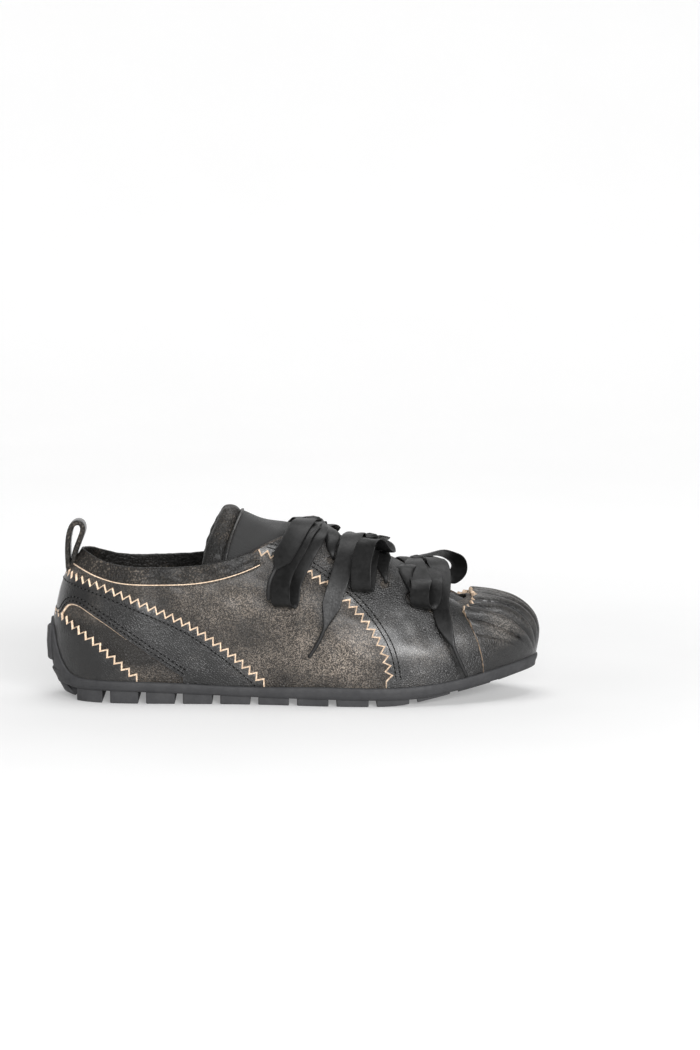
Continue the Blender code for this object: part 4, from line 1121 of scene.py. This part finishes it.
def stitches(name, rows, pitch=2.4, length=1.8, size=0.6, lift=OVERLAY):
    """The stitches of a few lines of places as one joined mesh, each line over a narrow, slightly sunk near-black
    strip: painted shade of the stitch groove.
    """
    unit_points, unit_faces = ball()
    points, faces, index = [], [], []
    base = 0
    for places in rows:
        along = lengths(rib_point(*places.T))
        count = max(int(along[-1] / pitch), 2)
        spots = even(places, count)
        ahead, across, normal = edge_frame(spots)
        centre = skin(*spots.T, lift + 0.12)
        for c, a, b, n in zip(centre, ahead, across, normal):
            faces += shifted(unit_faces, base)
            index += [0] * len(unit_faces)
            points.append(c + unit_points @ np.array([a * length / 2, b * size / 2, n * size / 2]))
            base += len(unit_points)
        # The near-black strip under the row: painted shade of the groove.
        line = even(places, 3 * count)
        _, across, normal = edge_frame(line)
        middle = skin(*line.T, lift - 0.05)
        rings = np.stack([middle + across * (0.5 * size * u) + normal * (0.16 * v)
                          for u, v in ((-1, -1), (-1, 1), (1, 1), (1, -1))], axis=1)
        tube = capped(rings)
        faces += shifted(tube, base)
        index += [1] * len(tube)
        points.append(rings.reshape(-1, 3))
        base += 4 * len(line)
    piece(name, np.vstack(points), faces, ["thread", "dark"], index=index)


PLEAT_AXIS = (4.0, 15.0)
PLEAT_TURN = radians(10.5)


def pleats(t, s):
    """The folds of the toe cap: rounded ridges between sharp creases that run from the throat to the toe tip."""
    spot = rib_point(t, s)
    angle = np.arctan2(spot[:, 1] - PLEAT_AXIS[0], spot[:, 2] - PLEAT_AXIS[1])
    turn = np.abs(angle) / PLEAT_TURN - 0.19
    number = np.floor(turn)
    fan = np.exp(-(np.abs(angle) / radians(54.0)) ** 8)
    from_axis = np.hypot(spot[:, 1] - PLEAT_AXIS[0], spot[:, 2] - PLEAT_AXIS[1])
    fade = np.clip((spot[:, 2] - 22.0) / 12.0, 0, 1) * np.clip((from_axis - 8.0) / 17.0, 0, 1)
    depth = 2.4 + 0.4 * np.sin(2.3 * number + 0.7)
    wobble = 0.1 * np.sin(spot[:, 0] / 7.0 + 1.9 * number)
    ridge = np.sin(pi * np.clip(turn - number + wobble, 0, 1) ** 0.75) ** 0.75
    return (depth * ridge - 0.7) * fan * fade


# Sides of the eyelets in the saddles and of the punches for the upper, and half the length of a punch
EYELET_SIDES = 18
PUNCH_SIDES = 20
PUNCH_HALF_LENGTH = 6.0


def eyelet_places(inner):
    """Places of the eyelets of one side."""
    return on_wall(EYELETS[:, 0], EYELETS[:, 2 if inner else 1], inner)


def eyelet_ring(t, s, radius):
    """Places on a circle round an eyelet."""
    by_t, by_s, _ = slopes(np.array([t]), np.array([s]))
    level = unit(by_t)
    upright = unit(by_s - level * np.sum(by_s * level))
    turn = np.linspace(0, 2 * pi, EYELET_SIDES + 1)[:-1, None]
    return moved(np.tile((t, s), (EYELET_SIDES, 1)), radius * (np.cos(turn) * level + np.sin(turn) * upright))


# Widths of the bevels: the saddle's raw edge, that of the side band and counter, and a dark edge
SADDLE_BEVEL = 0.66
RAW_BEVEL = 0.68
DARK_BEVEL = 0.3

# Places along an upright edge of an overlay
SIDE_STEPS = 16


def make_overlays():
    """The leather panels on the upper and their stitch rows."""
    rows = []
    for side, inner in (("outer", False), ("inner", True)):
        rear = edge_line(SADDLE_REAR, inner)
        rear[0, 1] = 1.0
        to_left = 1.0 if inner else -1.0
        rows += [aside(even(rear, 90)[6:], -to_left * d) for d in (4.0, 6.4)]
        cut = pinked(rear) if inner else pinked(rear[::-1])[::-1]
        cut[:, 1] = np.minimum(cut[:, 1], 1.0)
        foot = cut[-1:].copy()
        foot[:, 1] = rim_share(foot[:, 0]) - BEHIND_RIM
        front_t = rib_at(len(RIBS) - CAP_RIB - 0.25 if inner else CAP_RIB + 0.25)
        base = along_rim(foot[0, 0], front_t)
        front = columns(front_t, np.linspace(rim_share(front_t)[0] - BEHIND_RIM, 1.0, SIDE_STEPS))
        top = columns(np.linspace(front_t, cut[0, 0], 60)[1:-1], 1.0)
        outline = np.vstack([cut, foot, base, front, top])
        kind = np.full(len(outline), DARK_EDGE)
        kind[:len(cut)] = RAW_EDGE
        bevel = np.full(len(outline), DARK_BEVEL)
        bevel[:len(cut)] = SADDLE_BEVEL
        loops = [(outline, bevel, kind)]
        for t, s in eyelet_places(inner):
            loops.append((eyelet_ring(t, s, EYELET_DIAMETER / 2), 0.35, SMOOTH_EDGE))
        overlay("saddle_panel_" + side, loops, "saddle_" + side)
    t = np.linspace(rib_at(CAP_RIB), rib_at(len(RIBS) - CAP_RIB), 120)
    dip = (np.abs(t - 0.5) / (0.5 - t[0])) ** 1.3
    cut = pinked(columns(t, 0.985 - THROAT_DIP * dip)[::-1], 4.2, 2.4)
    cut[:, 1] = np.minimum(cut[:, 1], 1.0)
    sides = np.linspace(rim_share(t[0])[0] - BEHIND_RIM, 0.97 - THROAT_DIP, SIDE_STEPS)
    outline = np.vstack([columns(t[-1], sides), cut, columns(t[0], sides[::-1]), along_rim(t[0], t[-1])])
    bevel = np.full(len(outline), DARK_BEVEL)
    bevel[SIDE_STEPS:SIDE_STEPS + len(cut)] = np.where(cut[:, 0] < 0.5, 0.5, 0.25)
    kind = np.full(len(outline), SEAM_EDGE)
    kind[SIDE_STEPS - 1:SIDE_STEPS + len(cut)] = RAW_EDGE
    overlay("toe_cap_pleated", [(outline, bevel, kind)], "toe_cap", spacing=0.75, swell=pleats, base=0.7, sharp=80.0)
    lower, upper = wrapped_line(BAND_LOWER), wrapped_line(BAND_UPPER)
    rows += [aside(even(upper, 160), 4.8), aside(even(lower, 90), -2.2), aside(even(lower, 90), -4.4)]
    cut = down_to_rim(pinked(upper[::-1]))[::-1]
    lower = down_to_rim(even(lower, 90))
    outline = np.vstack([lower, along_rim(lower[-1, 0], cut[-1, 0]), cut[::-1], along_rim(cut[0, 0], lower[0, 0])])
    bevel = np.full(len(outline), RAW_BEVEL)
    fade = np.clip((BAND_RAW_END - rib_point(*lower.T)[:, 0]) / 20.0, 0, 1)
    bevel[:len(lower)] = DARK_BEVEL + 0.35 * fade
    kind = np.full(len(outline), RAW_EDGE)
    kind[:len(lower)] = np.where(fade > 0, RAW_EDGE, DARK_EDGE)
    overlay("side_band_leather", [(outline, bevel, kind)], "side_band")
    counter = wrapped_line(COUNTER_UPPER)
    rows += [aside(even(counter, 90), 4.4)]
    cut = down_to_rim(pinked(counter[::-1]))[::-1]
    outline = np.vstack([cut, along_rim(cut[-1, 0], cut[0, 0], 0.003)])
    overlay("heel_counter_leather", [(outline, RAW_BEVEL, RAW_EDGE)], "heel_counter", base=0.5)
    stitches("panel_stitches", [np.clip(row, (-1.0, 0.02), (1.0, 0.99)) for row in rows])


def punch_eyelets(item):
    """Runs a boolean difference with a tube at each eyelet on a piece; the tubes face inward, so it leaves only cut
    lines round the eyelets, not holes.
    """
    points, faces = [], []
    turn = np.linspace(0, 2 * pi, PUNCH_SIDES + 1)[:-1, None]
    low_end = np.arange(PUNCH_SIDES)
    high_end, after = low_end + PUNCH_SIDES, (low_end + 1) % PUNCH_SIDES
    tube = columns(low_end, after, after + PUNCH_SIDES, high_end).tolist()
    tube += [low_end[::-1].tolist(), high_end.tolist()]
    for inner in (False, True):
        for t, s in eyelet_places(inner):
            low, high = wall(t, s, -PUNCH_HALF_LENGTH), wall(t, s, PUNCH_HALF_LENGTH)
            axis = unit(high - low)
            level = unit(np.cross(axis, (0.0, 0.0, 1.0)))
            ring = (np.cos(turn) * level + np.sin(turn) * np.cross(level, axis)) * EYELET_DIAMETER / 2
            faces += shifted(tube, len(points) * 2 * PUNCH_SIDES)
            points.append(np.vstack([low + ring, high + ring]))
    tool = placed("punches", new_mesh("punches", metres(points), faces, ["dark"], flat=True))
    apply_modifier(item, "BOOLEAN", operation="DIFFERENCE", solver="EXACT", object=tool)
    bpy.data.objects.remove(tool)


# Sole, insole, tongue, pull loop

def spine(t):
    """The points down the middle of the sole that face each place of a ring of ribs."""
    feet = rib_point(t, 0.0)
    other = feet[(-np.arange(len(t))) % len(t)]
    x = np.clip((feet[:, 0] + other[:, 0]) / 2, -96.0, 98.0)
    outer = rib_point(np.linspace(0.05, 0.46, 40), 0.0)
    inner = rib_point(np.linspace(0.95, 0.54, 40), 0.0)
    at = np.linspace(-100, 100, 21)
    middle = (np.interp(at, outer[:, 0], outer[:, 1]) + np.interp(at, inner[:, 0], inner[:, 1])) / 2
    return x, np.interp(x, at, middle)


def tray(rings, t, top, bottom):
    """Points and faces of a tray: rings of points from its top edge to its bottom edge, closed down the middle."""
    x, y = spine(t)
    section = np.concatenate([columns(x, y, top(x))[:, None], rings, columns(x, y, bottom(x))[:, None]], axis=1)
    return section, grid_faces(*section.shape[:2], ring_rows=True)


# The bars of the tread in side view: the first gap, the pitch of the gaps and its growth, and the ends of the row
LUG_GAPS = 11
FIRST_GAP, GAP_PITCH, GAP_GROWTH = -99.4, 19.15, 0.163
FIRST_LUG, LAST_LUG = -115.5, 121.0
LUG_ROUND = 0.55

# The lugs up the heel: half width and outline in side view, and how they bend round the heel
HEEL_LUGS = (
    (8.0, ((-129.2, 19.4), (-132.3, 20.6), (-132.8, 29.5), (-132.3, 38.0), (-129.4, 39.0))),
    (14.0, ((-128.3, 16.6), (-130.2, 15.2), (-123.6, 3.0), (-120.6, 1.6), (-116.6, 7.2), (-121.5, 7.6),
            (-125.7, 8.9), (-127.4, 12.6))),
)
HEEL_BEND = 46.0


def make_lug(name, section):
    """A bar of rubber with rounded edges."""
    lug = piece(name, section, capped(section), ["rubber"], flat=True)
    apply_modifier(lug, "BEVEL", width=LUG_ROUND * MM, segments=2, limit_method="ANGLE", angle_limit=radians(35))


def make_sole():
    """The outsole with its rim, the bars of the tread and the heel's lugs."""
    t = ring_places(300)
    rim = rim_share(t)
    foot = rib_point(t, 0.0)
    tread, seam = levels(foot[:, 0]).T
    shares = np.linspace(0.0, 1.0, 10)
    inside = [wall(t, rim * f, 0.35) for f in shares]
    plate_edge = inside[0].copy()
    plate_edge[:, 2] = seam - CUP_DEPTH - GAP
    round_over = [wall(t, rim + r / 60.0, lift) for r, lift in ((0.35, 0.8), (0.5, 1.4), (0.25, 2.2))]
    outside = [wall(t, rim * f, GAP + RIM_WIDTH + 0.25 * np.sin(pi * f)) for f in shares[::-1]]
    heel = np.exp(-(np.abs(foot[:, 1] - RIBS[0, 1]) / 17.0) ** 2) * (foot[:, 0] < -60)
    edge = outside[-1].copy()
    inward = unit(plate_edge[:, :2] - edge[:, :2])
    edge[:, :2] += inward * (0.4 + HEEL_TUCK * heel)[:, None]
    edge[:, 2] = tread
    rings = np.stack([plate_edge, *inside[1:], *round_over, *outside, edge], axis=1)
    section, faces = tray(rings, t, lambda x: levels(x)[:, 1] - CUP_DEPTH - GAP, lambda x: levels(x)[:, 0])
    piece("outsole_rubber", section, faces, ["rubber"], ["outsole"])
    half = len(t) // 2
    outer_side, inner_side = edge[:half + 1], edge[half:][::-1]
    number = np.arange(LUG_GAPS)
    gaps = FIRST_GAP + GAP_PITCH * number + GAP_GROWTH * number * (number - 1)
    starts = np.append(FIRST_LUG, gaps + LUG_GAP / 2)
    ends = np.append(gaps - LUG_GAP / 2, LAST_LUG)
    for k, (start, end) in enumerate(zip(starts, ends), 1):
        x = np.linspace(start, end, 6)
        y_outer = np.interp(x, outer_side[:, 0], outer_side[:, 1]) + 0.5
        y_inner = np.interp(x, inner_side[:, 0], inner_side[:, 1]) - 0.5
        floor, roof = ground(x), levels(x)[:, 0] + 1.0
        corners = ((y_outer + 0.7, floor), (y_inner - 0.7, floor), (y_inner, roof), (y_outer, roof))
        make_lug(f"tread_lug_{k}", np.stack([columns(x, y, z) for y, z in corners], axis=1))
    for k, (half_width, profile) in enumerate(HEEL_LUGS, 1):
        x, z = np.transpose(profile)
        make_lug(f"heel_lug_{k}", np.array([columns(x + y * y / HEEL_BEND, RIBS[0, 1] + y, z)
                                            for y in np.linspace(-half_width, half_width, 13)]))


def make_insole():
    """The thin sock on the plate of the outsole."""
    t = ring_places(200)
    seam = levels(rib_point(t, 0.0)[:, 0])[:, 1]
    low, high = wall(t, 0.03, -WALL - 2 * GAP), wall(t, 0.06, -WALL - 2 * GAP)
    low[:, 2] = seam - CUP_DEPTH + GAP
    high[:, 2] = seam - CUP_DEPTH + GAP + INSOLE
    soft = high.copy()
    x, y = spine(t)
    soft[:, :2] += unit(columns(x, y) - high[:, :2]) * 1.2
    soft[:, 2] += 0.25
    section, faces = tray(np.stack([soft, high, low], axis=1), t,
                          lambda x: levels(x)[:, 1] - CUP_DEPTH + GAP + INSOLE + 0.25,
                          lambda x: levels(x)[:, 1] - CUP_DEPTH + GAP)
    piece("insole_sock", section, faces, ["lining"], ["insole"])


def tongue_arch(at, count):
    """Points of the tongue's outer face: a row of count points from side to side at each place in at."""
    row = smooth(np.arange(len(TONGUE)), TONGUE, at)
    t_outer, t_inner = rib_at(row[:, 0]), rib_at(len(RIBS) - row[:, 0])
    inside = -WALL - 3 * GAP - 1.6 * np.clip(at - (len(TONGUE) - 3), 0, 2)
    near = [wall(t_outer, row[:, 1], inside), wall(t_outer, row[:, 2], inside)]
    far = [wall(t_inner, row[:, 2], inside), wall(t_inner, row[:, 1], inside)]
    crest = columns(row[:, 3], (near[1][:, 1] + far[0][:, 1]) / 2, row[:, 4])
    across = np.linspace(0, 1, count)
    face = []
    for arch in np.stack([*near, crest, *far], axis=1):
        along = lengths(arch)
        face.append(smooth(along / along[-1], arch, across))
    return np.array(face)


def sheet_normals(face):
    """The upward normals of a sheet of points."""
    normal = unit(np.cross(np.gradient(face, axis=1), np.gradient(face, axis=0)))
    return normal * np.sign(normal[:, face.shape[1] // 2, 2])[:, None, None]


# The tongue's roll: its half thickness and the places along it. The welt: rows of (share of the length, size)
ROLL_THICK = 3.7
ROLL_STEPS = 120
WELT = ((0, 1.5), (1, 1.5))


def make_tongue():
    """The woven panel, the padded leather roll along its top edge and the thin welt between them."""
    last = len(TONGUE) - 1
    face = tongue_arch(np.linspace(0, last - 0.8, 90), 70)
    normal = sheet_normals(face)
    wave = 0.25 * ripples(face, 20.0, 31)
    outer = face + normal * wave[..., None]
    inner = face - normal * TONGUE_SHEET
    section = np.concatenate([outer, inner[:, ::-1]], axis=1)
    rows, count = section.shape[:2]
    faces = grid_faces(rows, count, ring_columns=True).tolist()
    index = [int(f[0] % count >= face.shape[1] - 1) for f in faces]
    for row, flip in ((0, False), (rows - 1, True)):
        for j in range(count // 2 - 1):
            start = row * count
            quad = (start + j, start + j + 1, start + count - 2 - j, start + count - 1 - j)
            faces.append(quad[::-1] if flip else quad)
            index.append(1)
    piece("tongue_panel", section, faces, ["cloth", "lining"], ["tongue"], index=index)
    arch = tongue_arch(np.linspace(last - 1.06, last, 3), ROLL_STEPS)
    normal = sheet_normals(arch)[1]
    centre = (arch[0] + arch[2]) / 2 * 0.5 + arch[1] * 0.5 - normal * 1.1
    along_face = unit(arch[2] - arch[0])
    half_wide = np.linalg.norm(arch[2] - arch[0], axis=1) / 2 + 0.4
    step = np.arange(ROLL_STEPS)
    end = np.clip(np.minimum(step, step[::-1]) / 14.0, 0, 1)
    thick = ROLL_THICK * np.sqrt(1 - (1 - end) ** 2 * 0.8)
    turn = np.linspace(0, 2 * pi, 33)[:-1]
    rings = (centre[:, None] + along_face[:, None] * (half_wide[:, None] * np.cos(turn))[..., None]
             + normal[:, None] * (thick[:, None] * np.sin(turn))[..., None])
    crinkle = 0.16 * ripples(rings, 6.0, 41) + 0.12 * ripples(rings, 14.0, 42)
    rings += unit(rings - centre[:, None]) * crinkle[..., None]
    roll = piece("tongue_roll", rings, capped(rings), ["collar"], wear_and_highlight=0.3 * wear_and_highlight_at(rings) - 0.5)
    line = tongue_arch(np.array([last - 1.24, last - 1.2]), ROLL_STEPS)
    normal = sheet_normals(line)[0]
    rings, _ = band(line[0] + normal * 0.5, line[1] - line[0], WELT, WELT, 160, cup=0.0)
    piece("tongue_welt", rings, capped(rings), ["smooth"], wear_and_highlight=rings[..., 0] * 0)


# The pull loop: its line in side view, and half of its section (y, height)
PULL_LINE = np.array([
    (-120.0, 68.0), (-120.6, 72.0), (-120.8, 78.0), (-120.5, 84.0), (-119.4, 89.6), (-117.0, 93.2),
    (-114.1, 93.4), (-112.6, 90.8), (-113.4, 86.8), (-115.3, 82.0), (-117.0, 77.0), (-117.9, 72.0),
])
PULL_SECTION = ((-6.5, 0.45), (-6.35, 1.1), (-5.4, 1.4), (0.0, 1.35), (5.4, 1.4), (6.35, 1.1), (6.5, 0.45))
PULL_EDGE_COLUMNS = (0, 5, 6, 7, 12, 13)
PULL_STEPS = 96


def make_pull_loop():
    """A folded strap at the back of the heel."""
    along = lengths(np.vstack([PULL_LINE, PULL_LINE[:1]]))
    middle = smooth(along[:-1], PULL_LINE, np.linspace(0, along[-1], PULL_STEPS + 1)[:-1], along[-1])
    ahead = unit(np.roll(middle, -1, axis=0) - np.roll(middle, 1, axis=0))
    out = columns(-ahead[:, 1], ahead[:, 0])
    profile = PULL_SECTION + tuple((y, -h) for y, h in PULL_SECTION[::-1])
    rows = []
    for y, h in profile:
        x, z = (middle + out * h).T
        rows.append(columns(x, RIBS[0, 1] + y, z))
    section = np.stack(rows, axis=1)
    faces = grid_faces(PULL_STEPS, len(profile), True, True)
    index = np.isin(faces[:, 0] % len(profile), PULL_EDGE_COLUMNS).astype(int)
    piece("pull_loop_strap", section, faces, ["smooth", "collar"], ["pull_loop"], index=index,
          wear_and_highlight=0.3 * wear_and_highlight_at(section))


# The crossed ribbons: how high each pair lies, its widths, and how it enters an eyelet (in t, in s, and off the face)
CROSS_LIFTS = (2.85, 2.9, 3.0)
CROSS_WIDTHS = ((0, 1.6), (0.06, 1.9), (0.24, 9.6), (0.76, 9.6), (0.94, 1.9), (1, 1.6))
CROSS_THICKS = ((0, 0.8), (1, 0.8))
ENTRY_T = 0.0014
ENTRY = ((0.012, -2.4), (0.022, 1.0))


def climb(place, turn, lift):
    """The line of a ribbon from inside an eyelet to the edge of the throat."""
    t, s = place
    entry = [wall(t + turn * ENTRY_T, s + rise, off) for rise, off in ENTRY]
    return entry + [wall(t, share, lift - 0.4) for share in ((s + 1) / 2, 1.0)]


def make_crossings():
    """The ribbons between the eyelets, crossed over the tongue."""
    for number, lift in enumerate(CROSS_LIFTS):
        points, faces = [], []
        pair = EYELETS[2 * number:2 * number + 2]
        cross_x = (pair[0, 0] + pair[1, 0]) / 2
        row = np.interp(-cross_x, -TONGUE[:, 3], np.arange(len(TONGUE)))
        for rear in (0, 1):
            near = on_wall(pair[rear, 0], pair[rear, 1])[0]
            far = on_wall(pair[1 - rear, 0], pair[1 - rear, 2], True)[0]
            crest = tongue_arch(np.array([row]), 5)[0, 2] + (0.0, 0.0, lift - 1.0 + 0.9 * rear)
            line = np.array([*climb(near, 1, lift), crest, *climb(far, -1, lift)[::-1]])
            rings, _ = band(line, np.tile((1.0, 0.0, 0.0), (len(line), 1)), CROSS_WIDTHS, CROSS_THICKS, 110,
                            seed=20 + number)
            faces += shifted(capped(rings), sum(len(p) for p in points))
            points.append(rings.reshape(-1, 3))
        piece(f"lace_{number + 1}_crossed", np.vstack(points), faces, ["satin"],
              [f"lace_{number + 1}_crossing"])


make_camera()
make_light()
make_bows()
make_crossings()
upper = make_upper()
make_overlays()
punch_eyelets(upper)
make_sole()
make_insole()
make_tongue()
make_pull_loop()
